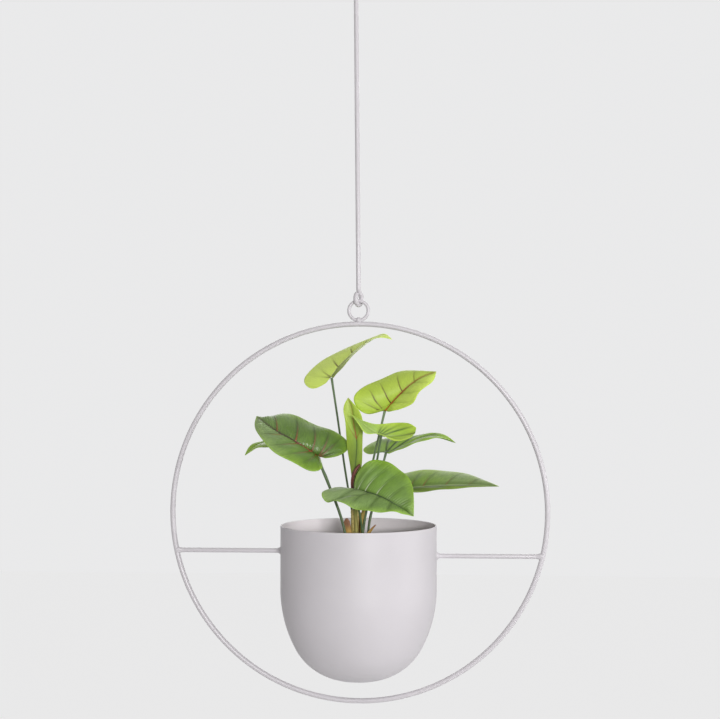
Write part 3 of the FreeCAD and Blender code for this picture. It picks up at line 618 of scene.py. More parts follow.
TOP_LEAF = leaf_finish("top_leaf", (0.70, 0.88, 0.165), (0.70, 0.88, 0.135),
    ((0.10, 0.045, 0.025), (0.20, 0.20, 0.060)), ((0.84, 0.92, 0.42), (0.86, 0.92, 0.46)),
    (0.20, 0.32, 0.09), gloss=0.46, ink_width=0.44, pale=(0.74, 0.88, 0.28), rib_width=1.3,
    rib_shade=(0, 2.4), grain=0.40)
PALE_LEAF = leaf_finish("pale_leaf", (0.45, 0.61, 0.068), (0.52, 0.70, 0.062),
    ((0.11, 0.012, 0.009), (0.14, 0.12, 0.035)), ((0.50, 0.035, 0.018), (0.30, 0.075, 0.024)),
    (0.20, 0.32, 0.09), gloss=0.46, ink_width=0.36, pale=(0.66, 0.82, 0.17), rib_width=1.2,
    grain=0.40)
YOUNG_LEAF = leaf_finish("young_leaf", (0.30, 0.47, 0.055), (0.42, 0.58, 0.055),
    ((0.34, 0.065, 0.018), (0.30, 0.11, 0.020)), ((0.060, 0.13, 0.016), (0.36, 0.070, 0.018)),
    (0.34, 0.50, 0.08), gloss=0.44, ink_width=0.20, pale=(0.56, 0.69, 0.100),
    rib_turn=(0.51, 0.54), rib_fade=(0.58, 0.80, 0.30), rib_width=0.7, grain=0.40)
SADDLE_LEAF = leaf_finish("saddle_leaf", (0.42, 0.63, 0.078), (0.56, 0.76, 0.076),
    ((0.060, 0.11, 0.016), (0.060, 0.15, 0.022)), ((0.16, 0.20, 0.04), (0.40, 0.54, 0.15)),
    (0.36, 0.50, 0.20), gloss=0.42, ink_width=0.42, pale=(0.36, 0.54, 0.125))
MID_LEAF = leaf_finish("middle_leaf", (0.195, 0.320, 0.065), (0.44, 0.66, 0.055),
    ((0.28, 0.075, 0.045), (0.22, 0.17, 0.060)), ((0.34, 0.44, 0.18), (0.38, 0.52, 0.18)),
    (0.060, 0.12, 0.030), gloss=0.40, ink_width=0.24, rib_width=0.9, rib_shade=(0.85, 5.0))
FRONT_LEAF = leaf_finish("front_leaf", (0.150, 0.285, 0.034), (0.280, 0.490, 0.026),
    ((0.58, 0.62, 0.44), (0.26, 0.38, 0.17)), ((0.022, 0.035, 0.014), (0.035, 0.070, 0.018)),
    (0.13, 0.23, 0.06), gloss=0.42, ink_width=0.24, painted_sheen=0.22)
DARK_LEAF = leaf_finish("dark_leaf", (0.120, 0.225, 0.036), (0.270, 0.450, 0.036),
    ((0.36, 0.060, 0.032), (0.18, 0.13, 0.060)), ((0.44, 0.050, 0.028), (0.050, 0.022, 0.017)),
    (0.15, 0.25, 0.06), gloss=0.30, ink_width=0.38, painted_sheen=0.22, rib_turn=(0.12, 0.42),
    rib_width=1.4)
BACK_LEAF = leaf_finish("back_leaf", (0.28, 0.47, 0.078), (0.44, 0.68, 0.064),
    ((0.045, 0.075, 0.018), (0.060, 0.11, 0.025)), ((0.060, 0.11, 0.030), (0.060, 0.11, 0.030)),
    (0.17, 0.28, 0.07), gloss=0.40, ink_width=0.50)

# %% [markdown]
# ## How a leaf is shaped
#
# A leaf is three curves that run from its stalk to its tip: the rib and the two margins.
# A point of the blade is told by `along`, its share of the way from stalk to tip, and
# `across`, from 0 at the rib to 1 at the margin. It lies on the straight line from the rib
# to the margin at the same share. Because the margins start beside the stalk and first run
# backwards round the lobes, those lines fan out there, as in a heart-shaped leaf.
#
# A side vein is a nearly straight line from a share of the rib to a later share of the
# margin. The blade gets its relief along its own facing: a groove at the rib and at each
# vein, puffed tissue between veins, small puckers beside the rib, and a wavy margin.

# %% Leaf shape
ALONG, ACROSS = 161, 41


def vein_map(points, rib, margin, veins, bow):
    """Order and gap of each point of a half.

    The distance to a vein is how far a point lies sideways of the vein's line, more than
    zero on the tip's side, plus the vein's bow there: 4 * share * (1 - share) * bow *
    length. Between veins k and k + 1, at distances p and -q, order is k + p / (p + q) and
    gap is p + q. A made-up vein stands 14 mm before the first one and after the last.
    """
    facing = facing_of(points)
    ahead = np.subtract(rib[-1], rib[0])
    starts = smooth_curve(rib, [a for a, _ in veins])
    ends = smooth_curve(margin, [b for _, b in veins])
    far = []
    for start, end in zip(starts, ends):
        length = np.linalg.norm(end - start)
        line = (end - start) / length
        side = unit(np.cross(facing, line))
        side = side * np.sign((side @ ahead).mean())
        share = np.clip((points - start) @ line / length, 0, 1)
        far.append(((points - start) * side).sum(-1) + bow * length * 4 * share * (1 - share))
    far = np.stack([far[0] + 14, *far, far[-1] - 14])
    number = np.arange(1, len(far) + 1)[:, None, None]
    passed = np.clip((number * (far > 0)).max(axis=0), 1, len(far) - 1)
    before = np.take_along_axis(far, passed[None] - 1, axis=0)[0]
    after = -np.take_along_axis(far, passed[None], axis=0)[0]
    before, after = np.maximum(before, 1e-3), np.maximum(after, 1e-3)
    return passed - 1 + before / (before + after), before + after


def half_blade(rib, margin, veins, look):
    """Points, relief, maps and fibre lines of one half, from the rib to the margin."""
    along, across = np.linspace(0, 0.997, ALONG), np.linspace(0, 1, ACROSS)
    middle, edge = smooth_curve(rib, along), smooth_curve(margin + rib[-1:], along)
    s = across[None, :, None]
    points = middle[:, None] * (1 - s) + edge[:, None] * s
    order, gap = vein_map(points, rib, margin + rib[-1:], veins, look["bow"])
    share = across[None, :] * np.ones_like(order)
    width = np.linalg.norm(edge - middle, axis=1)[:, None] * np.ones_like(order)
    rib_mm, edge_mm = share * width, (1 - share) * width
    vein_mm = np.abs(order - np.round(order)) * gap
    real = np.clip((order - 0.5) * 8, 0, 1) * np.clip((len(veins) + 0.5 - order) * 8, 0, 1)
    rise = np.clip(along[:, None] / 0.14, 0, 1) * np.clip((1 - along[:, None]) / 0.12, 0, 1)
    room = np.clip(width / 12, 0, 1) * rise
    puff = np.sin(math.pi * (order % 1)) ** 2 * share ** 0.5 * (1 - share ** 2)
    pucker = (np.cos(2 * math.pi * order * look["puckers"])
              * np.exp(-(rib_mm / 7) ** 2) * (1 - np.exp(-(rib_mm / 1.5) ** 2)))
    wave = np.sin(2 * math.pi * (along[:, None] * look["waves"] + look["shift"])) * share ** 3
    relief = room * (look["puff"] * puff + look["pucker"] * pucker + look["wave"] * wave
                     + look["camber"] * 4 * share * (1 - share)
                     - look["groove"] * real * np.exp(-(vein_mm / 1.2) ** 2) * (1 - share)) \
        - look["rib_groove"] * rise * np.exp(-(rib_mm / 1.2) ** 2)
    # painted light and shade along a half, from its foot to its tip
    foot, tip, start, end = look["tone"]
    tone = foot + (tip - foot) * np.clip((along - start) / (end - start), 0, 1)
    maps = {"order": order, "gap": gap, "rib_mm": rib_mm, "edge_mm": edge_mm,
            "along": along[:, None] * np.ones_like(order),
            "tone": tone[:, None] * np.ones_like(order),
            # how strong the painted shade beside the veins is
            "dent": real * np.clip((1 - share) / 0.4, 0, 1) * look["dent"],
            "reach": real * np.clip((look["ink_reach"] - share) / 0.3, 0, 1) * look["ink"]
            * np.interp(along, look["ink_fade"][:2], (1, look["ink_fade"][2]))[:, None]}
    return points, relief, maps, np.stack([order, share], axis=-1)


EVEN = (0.0, 0.0, 0.0, 1.0)         # painted light and shade at foot and tip, and where it changes over
LOOK = dict(bow=0.04, groove=0.35, rib_groove=0.5, puff=0.6, pucker=0.0, puckers=6, waves=3.0,
            shift=0.1, wave=0.5, camber=1.5, ink_reach=0.85, left_ink=0.9, right_ink=0.9,
            left_tone=EVEN, right_tone=EVEN, left_dent=0.5, right_dent=0.5,
            ink_fade=(0.35, 0.8, 0.35), upright=False)


def leaf(node, rib, left, right, left_veins, right_veins, finish, slot, **changes):
    """A closed leaf: the left half from margin to rib, then the right half to its margin."""
    look = {**LOOK, **changes}
    (lp, lr, lm, ll), (rp, rr, rm, rl) = (
        half_blade(rib, margin, veins, {**look, **{key: look[side + key] for key in
                                                   ("ink", "tone", "dent")}})
        for side, margin, veins in (("left_", left, left_veins), ("right_", right, right_veins)))
    points, relief, lines = (np.concatenate([a[:, :0:-1], b], axis=1) for a, b in
                             ((lp, rp), (lr, rr), (ll + [9, 0], rl)))
    maps = {key: np.concatenate([lm[key][:, :0:-1], rm[key]], axis=1) for key in lm}
    forward, upward = -facing_of(points)[..., 1].sum(), facing_of(points)[..., 2].sum()
    if (forward if look["upright"] else upward) < 0:
        points, relief, lines = points[:, ::-1], relief[:, ::-1], lines[:, ::-1]
        maps = {key: value[:, ::-1] for key, value in maps.items()}
    points = points + facing_of(points) * relief[..., None]
    thick = 0.5 * np.clip(0.35 + maps["edge_mm"] / 2, 0, 1)
    piece = closed_sheet(node.replace("leaf", "blade"), points + soil_top, thick, finish, maps,
                         lines)
    settle(piece, "plant", slot, node)


# %% [markdown]
# ## The nine leaves
#
# Points are (right, back, up) in millimetres from the middle of the soil's top. The upper
# leaves are young: pale yellow-green, thin and nearly smooth. The lower ones are older:
# dark, glossy and puffed between their veins.

# %% Leaves
LEAVES = {
    "leaf_top": dict(
        rib=[(-29.6, 34, 171), (-22, 35, 182), (-13.8, 36, 190), (-5, 36, 198), (8, 36, 206.5),
             (24, 35, 212.5), (31.5, 34, 208)],
        left=[(-35, 37, 165), (-51, 42, 160), (-58, 47, 167), (-51, 52, 179), (-30, 52, 194),
              (-9, 47, 203), (13, 41, 211.5), (24, 37, 214)],
        right=[(-27, 30, 170), (-21, 20, 176), (-11, 12, 186), (-2, 13, 196), (9, 19, 205),
               (20, 28, 210)],
        left_veins=[(0.0, 0.26), (0.0, 0.36), (0.16, 0.49), (0.41, 0.66), (0.62, 0.80)],
        right_veins=[(0.03, 0.30), (0.20, 0.50), (0.45, 0.70)],
        finish=TOP_LEAF, slot="leaf_pale", puff=0.3, groove=0.3, camber=0.3, wave=0.3,
        ink_reach=0.55, left_tone=(0.1, 0.5, 0, 0.5), right_tone=(-0.75, -0.1, 0, 0.7),
        left_dent=0.25),
    "leaf_upper_right": dict(
        rib=[(26, -14, 138), (43, -20, 156), (60, -24, 169), (75, -26, 175)],
        left=[(19, -14, 137), (10, -20, 135), (0, -24, 141), (-3, -24, 150), (4, -18, 159),
              (21, -10, 168), (39, -8, 175), (60, -16, 176)],
        right=[(30, -16, 137), (35, -22, 138), (45, -28, 141), (54, -32, 146), (57, -33, 153),
               (65, -32, 160), (73, -29, 168)],
        left_veins=[(0.0, 0.13), (0.0, 0.27), (0.0, 0.39), (0.15, 0.51), (0.40, 0.67),
                    (0.64, 0.82)],
        right_veins=[(0.0, 0.30), (0.16, 0.46), (0.36, 0.62), (0.60, 0.80)],
        finish=PALE_LEAF, slot="leaf_pale", puff=0.5, groove=0.3, ink_reach=0.8,
        right_ink=0.2, left_tone=(0, 0.5, 0.3, 0.9), right_tone=(0.5, 0.7, 0, 1),
        left_dent=0.25, right_dent=0.3),
    "leaf_young": dict(
        rib=[(-3.4, -16, 67), (-2.2, -18, 82), (-0.8, -21, 96), (-0.3, -24, 109.4),
             (-2.9, -26, 125.5), (-5, -28, 140.6), (-8, -29, 150.5)],
        left=[(-5, -16, 69), (-6.7, -17, 83.6), (-8.3, -20, 95), (-9.6, -22, 105),
              (-10.4, -26, 120), (-11.4, -28, 131), (-12.5, -29, 138.7), (-11, -29, 145.5)],
        right=[(-1.5, -16, 70), (3.6, -17, 83.6), (4.8, -20, 99), (5.6, -25, 116),
               (4.2, -30, 135), (-3, -30, 145)],
        left_veins=[(0.53, 0.82)],
        right_veins=[(0.53, 0.70)],
        finish=YOUNG_LEAF, slot="leaf_young", puff=0.1, groove=0.1, camber=0.5,
        left_tone=(-0.55, 0.6, 0.35, 0.9), right_tone=(-0.45, 0.3, 0.35, 0.85), left_dent=0,
        right_dent=0, left_ink=0.6, right_ink=0.6, ink_reach=0.7, ink_fade=(0.9, 1, 0.35),
        upright=True),
    "leaf_saddle": dict(
        rib=[(55, -26, 117), (23, -25, 115), (12, -34, 122), (-6, -42, 136)],
        left=[(51, -31, 113), (41, -33, 110), (28, -32, 113), (18, -37, 117), (8, -46, 118),
              (2, -46, 127)],
        right=[(56, -22, 122), (49, -18, 126), (31, -17, 126), (15, -26, 126), (2, -37, 131)],
        left_veins=[(0.40, 0.06), (0.46, 0.22)],
        right_veins=[(0.42, 0.02), (0.45, 0.16), (0.48, 0.30), (0.50, 0.42)],
        finish=SADDLE_LEAF, slot="leaf_middle", puff=0.4, groove=0.4, camber=0.5, bow=-0.06,
        left_tone=(0, 1, 0.42, 0.58), right_tone=(0, 1, 0.36, 0.60), left_dent=0.7,
        right_dent=0.85, ink_reach=0.7),
    "leaf_big_left": dict(
        rib=[(-37, -24, 95), (-59, -34, 110), (-80, -34, 122), (-95, -28, 133)],
        left=[(-34, -27, 91), (-32, -34, 85), (-38, -44, 82), (-57, -54, 90), (-76, -54, 101),
              (-91, -44, 116), (-96, -34, 126)],
        right=[(-30, -24, 93), (-16, -20, 96), (-8, -14, 104), (-19, -10, 116), (-39, -8, 124),
               (-57, -8, 132), (-73, -12, 135), (-88, -22, 132)],
        left_veins=[(0.0, 0.16), (0.03, 0.34), (0.12, 0.50), (0.32, 0.64), (0.56, 0.78)],
        right_veins=[(0.0, 0.16), (0.0, 0.30), (0.0, 0.40), (0.11, 0.54), (0.37, 0.68),
                     (0.64, 0.86)],
        finish=DARK_LEAF, slot="leaf_dark", puff=1.2, groove=0.6, pucker=0.8, left_ink=0.5,
        ink_reach=0.75, left_tone=(-0.1, 0.65, 0.3, 1), right_tone=(-0.15, 0.3, 0.6, 1),
        left_dent=0.6, right_dent=1.2),
    "leaf_far_left": dict(
        rib=[(-59, 26, 100), (-79, 30, 107), (-97, 30, 105), (-115, 28, 93)],
        left=[(-61, 22, 98), (-68, 14, 98), (-80, 10, 101), (-95, 14, 102), (-107, 22, 98)],
        right=[(-58, 30, 102), (-65, 40, 112), (-81, 44, 114), (-97, 40, 107), (-109, 34, 104)],
        left_veins=[(0.02, 0.30), (0.25, 0.50), (0.50, 0.72)],
        right_veins=[(0.02, 0.30), (0.25, 0.50), (0.50, 0.72)],
        finish=BACK_LEAF, slot="leaf_dark", puff=0.6),
    "leaf_curled_right": dict(
        rib=[(26, 12, 97), (48, 18, 105), (71, 22, 112), (94, 24, 106)],
        left=[(19, 14, 98), (9, 20, 95), (3, 26, 99), (11, 32, 106), (29, 36, 110),
              (51, 36, 112), (66, 32, 115), (81, 28, 115)],
        right=[(29, 10, 96), (36, 7, 99), (49, 7, 104), (67, 10, 110), (79, 16, 111),
               (88, 21, 109)],
        left_veins=[(0.0, 0.12), (0.0, 0.44), (0.0, 0.60), (0.10, 0.74), (0.34, 0.86)],
        right_veins=[(0.05, 0.30), (0.25, 0.50), (0.50, 0.72)],
        finish=BACK_LEAF, slot="leaf_dark", puff=1.0, groove=0.6, left_dent=1.0,
        left_tone=(0.6, -0.1, 0, 0.3), right_tone=(-0.3, -0.2, 0, 1)),
    "leaf_long_right": dict(
        rib=[(36, 10, 61), (59, 15, 64), (78, 18, 65.2), (98, 20, 65.8), (117, 21, 65),
             (136, 22, 64)],
        left=[(32, 14, 63), (34, 26, 72), (47, 34, 77), (71, 38, 79), (95, 38, 77),
              (116, 32, 72)],
        right=[(38, 8, 60), (53, 7, 59), (76, 9, 61), (103, 14, 63), (123, 19, 64)],
        left_veins=[(0.0, 0.20), (0.14, 0.37), (0.26, 0.50), (0.48, 0.68), (0.70, 0.84)],
        right_veins=[(0.05, 0.30), (0.25, 0.50), (0.50, 0.72)],
        finish=MID_LEAF, slot="leaf_middle", puff=0.7, ink_reach=0.55,
        left_tone=(-0.15, 0.7, 0.2, 0.9), right_tone=(-0.75, -0.5, 0, 1), left_dent=0.8,
        left_ink=0.7),
    "leaf_front": dict(
        rib=[(-2, -30, 64), (15, -38, 61), (33, -46, 54), (54, -50, 41)],
        left=[(-2, -29, 70), (1, -28, 80), (9, -27, 89), (19, -26, 92), (39, -28, 84),
              (50, -34, 74), (54, -44, 58)],
        right=[(-10, -33, 66), (-24, -38, 66), (-31.5, -46, 60), (-26, -51, 54.2),
               (-20, -54, 55.8), (-14.5, -56, 54.2), (-6.9, -58.5, 51.8), (1, -60, 48.6),
               (29, -60, 46), (44, -56, 44)],
        left_veins=[(0.0, 0.28), (0.05, 0.37), (0.17, 0.45), (0.36, 0.55), (0.55, 0.70),
                    (0.74, 0.85)],
        right_veins=[(0.0, 0.18), (0.06, 0.36), (0.22, 0.50), (0.42, 0.64), (0.62, 0.78)],
        finish=FRONT_LEAF, slot="leaf_middle", puff=0.8, pucker=0.3, ink_reach=0.55, wave=0.9,
        waves=5, left_tone=(0.25, -0.1, 0.1, 0.5), right_tone=(0.75, 0.0, 0.1, 0.8),
        left_dent=0.6, right_dent=0.9, right_ink=0.25, ink_fade=(0.33, 0.5, 0.1)),
}
for name, facts in LEAVES.items():
    leaf(name, **facts)

# %% [markdown]
# ## Stalks
#
# A stalk is a circle carried along a smooth curve from the soil to the leaf. It is thicker
# at its foot, slim in the middle, and swells again just under the blade. Its colour is
# streaked along its length, so the finish reads a UV map whose second number runs along it.


# %% Stalks as tubes
def tube(name, path, radius, finish, sides=16, bumps=0.0, torn=0.0):
    """ring points = path + radius * (cos a * one side + sin a * other side).

    The two sides are square to the path and to each other. `bumps` adds that share of the
    radius in waves round and along the tube, and `torn` lifts the last ring unevenly.
    """
    ahead = unit(np.gradient(path, axis=0))
    side = unit(np.array([1.0, 0.0, 0.0]) - ahead * ahead[:, :1])
    other = np.cross(ahead, side)
    angle, along = turns(sides), np.linspace(0, 1, len(path))[:, None]
    uneven = 1 + bumps * (0.5 * np.sin(5 * angle + 9 * along) + 0.3 * np.sin(
        9 * angle - 31 * along + 1) + 0.4 * np.sin(57 * along + 2 * np.sin(angle + 1)))
    reach = (radius[:, None] * uneven)[..., None]
    rings = path[:, None] + reach * (np.cos(angle)[:, None] * side[:, None]
                                     + np.sin(angle)[:, None] * other[:, None])
    rings[-1] += ahead[-1] * (torn * np.sin(4 * angle + 0.6) * np.sin(angle * 2.5))[:, None]
    round_mm = np.abs(angle - math.pi) * radius.mean()
    up_mm = np.append(0, np.linalg.norm(np.diff(path, axis=0), axis=1).cumsum())
    lines = np.stack(np.broadcast_arrays(round_mm[None, :], up_mm[:, None]), axis=-1)
    return as_mesh(name, rings, tube_faces(len(path), sides), finish, lines=lines)


def streaked(name, low, high, foot=None, rough=0.42, yellowed=(2, 16)):
    """Streaks along a stalk; the colour `foot` fades out over the millimetres `yellowed`."""
    finish, tree, shader = new_finish(name)
    lines = step(tree, "UVMap", uv_map="lines")
    streak = noise(tree, step(tree, "Mapping", {"Vector": lines, "Scale": (2.2, 0.12, 1)}),
                   1.0, 3.0)
    skin = mixed(tree, ramp(tree, streak, 0.35, 0.68), low, high)
    if foot:
        up = step(tree, "SeparateXYZ", {0: lines}, 1)
        skin = mixed(tree, ramp(tree, up, *yellowed, 0.85, 0), skin, foot)
    coated(tree, shader, skin, streak, (rough - 0.06, rough + 0.08), streak, 0.4, 0.0003)
    return finish


GREEN_STALK = streaked("green_stalk", (0.050, 0.092, 0.032), (0.135, 0.205, 0.085),
                       (0.30, 0.34, 0.12))
YELLOW_STALK = streaked("yellow_stalk", (0.070, 0.120, 0.040), (0.16, 0.23, 0.09),
                        (0.52, 0.36, 0.075), yellowed=(44, 52))
STALKS = {
    "stalk_top": [(-3.5, 6.5, 0), (-5.3, 6.5, 30), (-10.9, 10, 63), (-19.8, 24, 114),
                  (-29, 34, 170)],
    "stalk_upper_right": [(2.8, -5.5, 0), (4.0, -6, 29), (6.5, -8, 50), (19.8, -14, 112),
                          (26, -14, 138)],
    "stalk_saddle": [(5, -10.5, 0), (5.0, -11, 21), (8.7, -12, 44), (19.1, -19, 93),
                     (23, -25, 115)],
    "stalk_big_left": [(-9.5, -7, 0), (-12.2, -8, 20), (-21.2, -12, 51), (-26.3, -17, 65),
                       (-32.8, -21, 82), (-37, -24, 95)],
    "stalk_far_left": [(-11.5, 4, 0), (-13.4, 4, 19), (-22.9, 8, 50), (-28.6, 12, 63.5),
                       (-36.4, 18, 80.4), (-46, 22, 91), (-59, 26, 100)],
    "stalk_curled_right": [(7.5, 0, 0), (9.1, 1, 20), (12.9, 4, 42), (26, 12, 97)],
    "stalk_long_right": [(7.5, 7.5, 0), (8.7, 8, 19), (12.6, 9, 42), (20, 10, 54),
                         (36, 10, 61)],
    "stalk_front": [(5.5, -14.5, 0), (4.6, -16, 22), (1.6, -22, 45), (-2, -30, 64)],
}
for node, route in STALKS.items():
    share = np.linspace(0, 1, 90)
    slim = 1.45 if node == "stalk_big_left" else 1.12
    radius = slim * (0.92 + 0.3 * np.exp(-share / 0.06) + 0.25 * np.exp(-(1 - share) / 0.05))
    stalk_finish = GREEN_STALK
    if node == "stalk_upper_right":     # its lower third is wrapped in a yellow sheath
        radius = radius + 0.95 * np.clip((0.37 - share) / 0.05, 0, 1)
        stalk_finish = YELLOW_STALK
    settle(tube(node.replace("stalk", "stem"), smooth_curve(route, share) + soil_top, radius,
                stalk_finish, bumps=0.03), "plant", "stalk", node)

# %% [markdown]
# ## The stem's foot
#
# All stalks spring from one short stem. It is olive and tan, and ringed where old leaves
# fell off. Beside it stands the dry brown stub of an older stem. A round dry scale clasps
# it on the left, a pointed one on the right, and a dark red spear rises in the middle. The
# stem is a tube whose radius swells at each ring; the scales are curled sheets.

# %% Stem and stub
trunk_finish, tree, shader = new_finish("ringed_stem")
lines = step(tree, "UVMap", uv_map="lines")
ring_noise = noise(tree, step(tree, "Mapping", {"Vector": lines, "Scale": (0.12, 1.1, 1)}),
                   1.0, 3.0)
streak = noise(tree, step(tree, "Mapping", {"Vector": lines, "Scale": (0.9, 0.10, 1)}), 1.0)
skin = mixed(tree, ramp(tree, streak, 0.36, 0.60), (0.40, 0.34, 0.085), (0.72, 0.62, 0.23))
skin = mixed(tree, ramp(tree, ring_noise, 0.54, 0.68, 0, 0.6), skin, (0.15, 0.085, 0.030))
skin = mixed(tree, ramp(tree, ring_noise, 0.30, 0.42, 0.6, 0), skin, (0.66, 0.58, 0.28))
coated(tree, shader, skin, streak, (0.5, 0.7), ring_noise, 0.9, 0.0008)

TRUNK_TALL, STUB_TALL, SUNK = 44.0, 41.0, 1.0       # both feet are sunk into the soil
height = np.linspace(0, TRUNK_TALL, 150)
rings = 0.22 * np.abs(np.sin(height * 1.35 + 0.6 * np.sin(height * 0.4))) ** 0.6
trunk_path = np.stack([-3.8 + 0.4 * np.sin(height / 14), 0.3 * np.sin(height / 9 + 1),
                       height - SUNK], axis=1) + soil_top
settle(tube("ringed_stem", trunk_path, 4.1 - 0.5 * height / TRUNK_TALL + rings, trunk_finish,
            40, 0.035, 0.8), "plant", "stem", "main_stem")

share = np.linspace(0, 1, 120)
sheath_path = smooth_curve([(-2.2, -6, 0), (-2.3, -7, 40), (-3.0, -10, 52), (-3.4, -16, 68)],
                           share) + soil_top
YOUNG_SHEATH = streaked("young_sheath", (0.16, 0.27, 0.045), (0.26, 0.40, 0.07),
                        (0.42, 0.35, 0.10), 0.5, (34, 60))
settle(tube("stem_young", sheath_path, 1.9 - 0.4 * share, YOUNG_SHEATH, 24, 0.05),
       "plant", "stalk", "stalk_young")

height = np.linspace(0, STUB_TALL, 90)
stub_path = np.stack([1.2 + 0.3 * np.sin(height / 6), 0.2 * np.sin(height / 5),
                      height - SUNK], axis=1) + soil_top
BROWN_STUB = streaked("brown_stub", (0.080, 0.045, 0.016), (0.24, 0.14, 0.05), rough=0.7)
settle(tube("torn_stub", stub_path, 1.9 - 0.4 * height / STUB_TALL, BROWN_STUB, 24, 0.10,
            1.6), "plant", "dry_stem", "old_stem")


# %% [markdown]
# ## Dry scales
#
# A scale is a strip that clasps the stem: across it, the strip bends round an upright
# axis, and along it, the strip narrows to its tip and leans outwards.


# %% Dry scales
def scale_grid(foot, lean, height, half_width, clasp, turn, sharp, bend=1):
    """point = foot + lean * t ** bend + radius * (sin(turn + b), -cos(turn + b)), where
    b = across * half width(t) / radius, and half width(t) = w * (1 - t ** sharp) ** 0.5."""
    t, s = np.meshgrid(np.linspace(0, 0.995, 61), np.linspace(-1, 1, 25), indexing="ij")
    half = half_width * np.sqrt(np.clip(1 - t ** sharp, 0, 1)) * (0.75 + 0.25 * np.sin(
        math.pi * np.clip(t * 1.4, 0, 1)))
    b = math.radians(turn) + s * half / clasp
    x = foot[0] + lean[0] * t ** bend + clasp * (np.sin(b) - math.sin(math.radians(turn)))
    y = foot[1] + lean[1] * t - clasp * (np.cos(b) - math.cos(math.radians(turn)))
    frayed = 0.5 * np.sin(11 * s + 3) * t ** 3 + 0.25 * np.sin(3 * math.pi * t + 2 * s)
    points = np.stack([x + frayed, y + 0.4 * frayed, height * t - SUNK], axis=-1)
    return points + soil_top, np.stack([s * 6, t * height], axis=-1)


DRY_SCALE = streaked("dry_scale", (0.19, 0.080, 0.040), (0.42, 0.20, 0.10),
                     (0.62, 0.40, 0.08), 0.62, (23, 30))
RED_SPEAR = streaked("red_spear", (0.035, 0.010, 0.008), (0.20, 0.045, 0.022), rough=0.45)
SCALES = {
    "left_sheath": dict(foot=(-10.0, -5.5), lean=(-1.0, -1), height=36, half_width=4.9,
                        clasp=6.5, turn=-14, sharp=7),
    "right_sheath": dict(foot=(6.0, -6), lean=(11, -2), height=30, half_width=3.0, clasp=4.0,
                         turn=25, sharp=1.8, bend=3)}
for node, facts in SCALES.items():
    points, lines = scale_grid(**facts)
    thick = np.full(lines.shape[:2], 0.6)
    settle(closed_sheet(node.replace("sheath", "scale"), points, thick, DRY_SCALE,
                        lines=lines), "plant", "dry_sheath", node)

share = np.linspace(0, 1, 110)
spear_path = smooth_curve([(-4.5, 0, 44), (-4.8, -8, 54), (-4.8, -18, 64), (-4.6, -21, 72),
                           (-2.9, -22, 78.5), (0.2, -21.5, 84), (3.0, -21, 87.6)], share) \
    + soil_top
spear_radius = 0.15 + (1.0 + 1.15 * share ** 3) * np.sqrt(1 - share ** 9)
settle(tube("red_spear", spear_path, spear_radius, RED_SPEAR, bumps=0.05), "plant", "bract",
       "bract")

# %% [markdown]
# ## Soil
#
# Potting soil is a dark crumbly heap, higher round the stem. It is a profile carried round
# the pot's axis: across the floor, up the side and in over the top. The top is lifted by
# waves of several lengths, and chips of bark and crumbs lie on it, half sunk in. All chips
# are one mesh: a small rounded lump is turned, stretched and put down many times.

# %% Soil and bark
soil_finish, tree, shader = new_finish("dark_soil")
where = place_of(tree)
crumb = noise(tree, where, 520.0, 6.0, 0.72)
fleck = noise(tree, where, 1500.0, 2.0)
earth = mixed(tree, ramp(tree, crumb, 0.35, 0.68), (0.022, 0.014, 0.009), (0.10, 0.062, 0.038))
earth = mixed(tree, ramp(tree, fleck, 0.68, 0.74, 0, 0.6), earth, (0.30, 0.22, 0.14))
coated(tree, shader, earth, crumb, (0.75, 0.95), crumb, 1.0, 0.002)

SOIL_SIDES, SOIL_TAPER = 120, 0.0875    # the inner pot narrows by this share of its depth
WAVE_SIZES = (0.8, 0.6, 0.45, 0.35, 0.3, 0.25, 0.2, 0.2)
WAVES_PER_MM = (0.1, 0.16, 0.25, 0.4, 0.6, 0.9, 1.3, 1.7)
chance = np.random.default_rng(12)
around = turns(SOIL_SIDES)
soil_radius, soil_depth = soil_size[0] / 2 - 0.05, soil_size[2]
foot_radius = soil_radius - soil_depth * SOIL_TAPER
reach = np.concatenate([[0.05], np.linspace(4, foot_radius, 8), [soil_radius],
                        np.linspace(soil_radius - 0.6, 0.05, 60)])
level = np.concatenate([np.full(9, -soil_depth), [-1.2], np.zeros(60)])
x, y = reach[:, None] * np.cos(around), reach[:, None] * np.sin(around)
ways = chance.normal(size=(8, 3)) * [[k, k, 6] for k in WAVES_PER_MM]
waves = sum(size * np.sin(x * way[0] + y * way[1] + way[2])
            for size, way in zip(WAVE_SIZES, ways))
top_share = np.clip((soil_radius - reach) / 4, 0, 1)[:, None] * (level == 0)[:, None]
z = level[:, None] + top_share * (waves * 0.7 - 1.2 + 2.2 * np.exp(-(x ** 2 + y ** 2) / 400))
soil = as_mesh("loose_soil", np.stack([x, y, z], axis=-1) + soil_top,
               tube_faces(len(reach), SOIL_SIDES), soil_finish)
settle(soil, "plant", "potting_soil", "potting_soil")

bark_finish, tree, shader = new_finish("bark_chips")
where = place_of(tree)
shade = noise(tree, where, 130.0, 1.0)
grain = noise(tree, where, 1800.0, 4.0)
chip = mixed(tree, ramp(tree, shade, 0.35, 0.65), (0.045, 0.025, 0.014), (0.22, 0.13, 0.07))
tree.links.new(mixed(tree, ramp(tree, grain, 0.4, 0.7, 0, 0.6), chip, (0.03, 0.018, 0.01)),
               shader.inputs["Base Color"])
shader.inputs["Roughness"].default_value = 0.85
bumped(tree, shader, grain, 0.8, 0.0006)

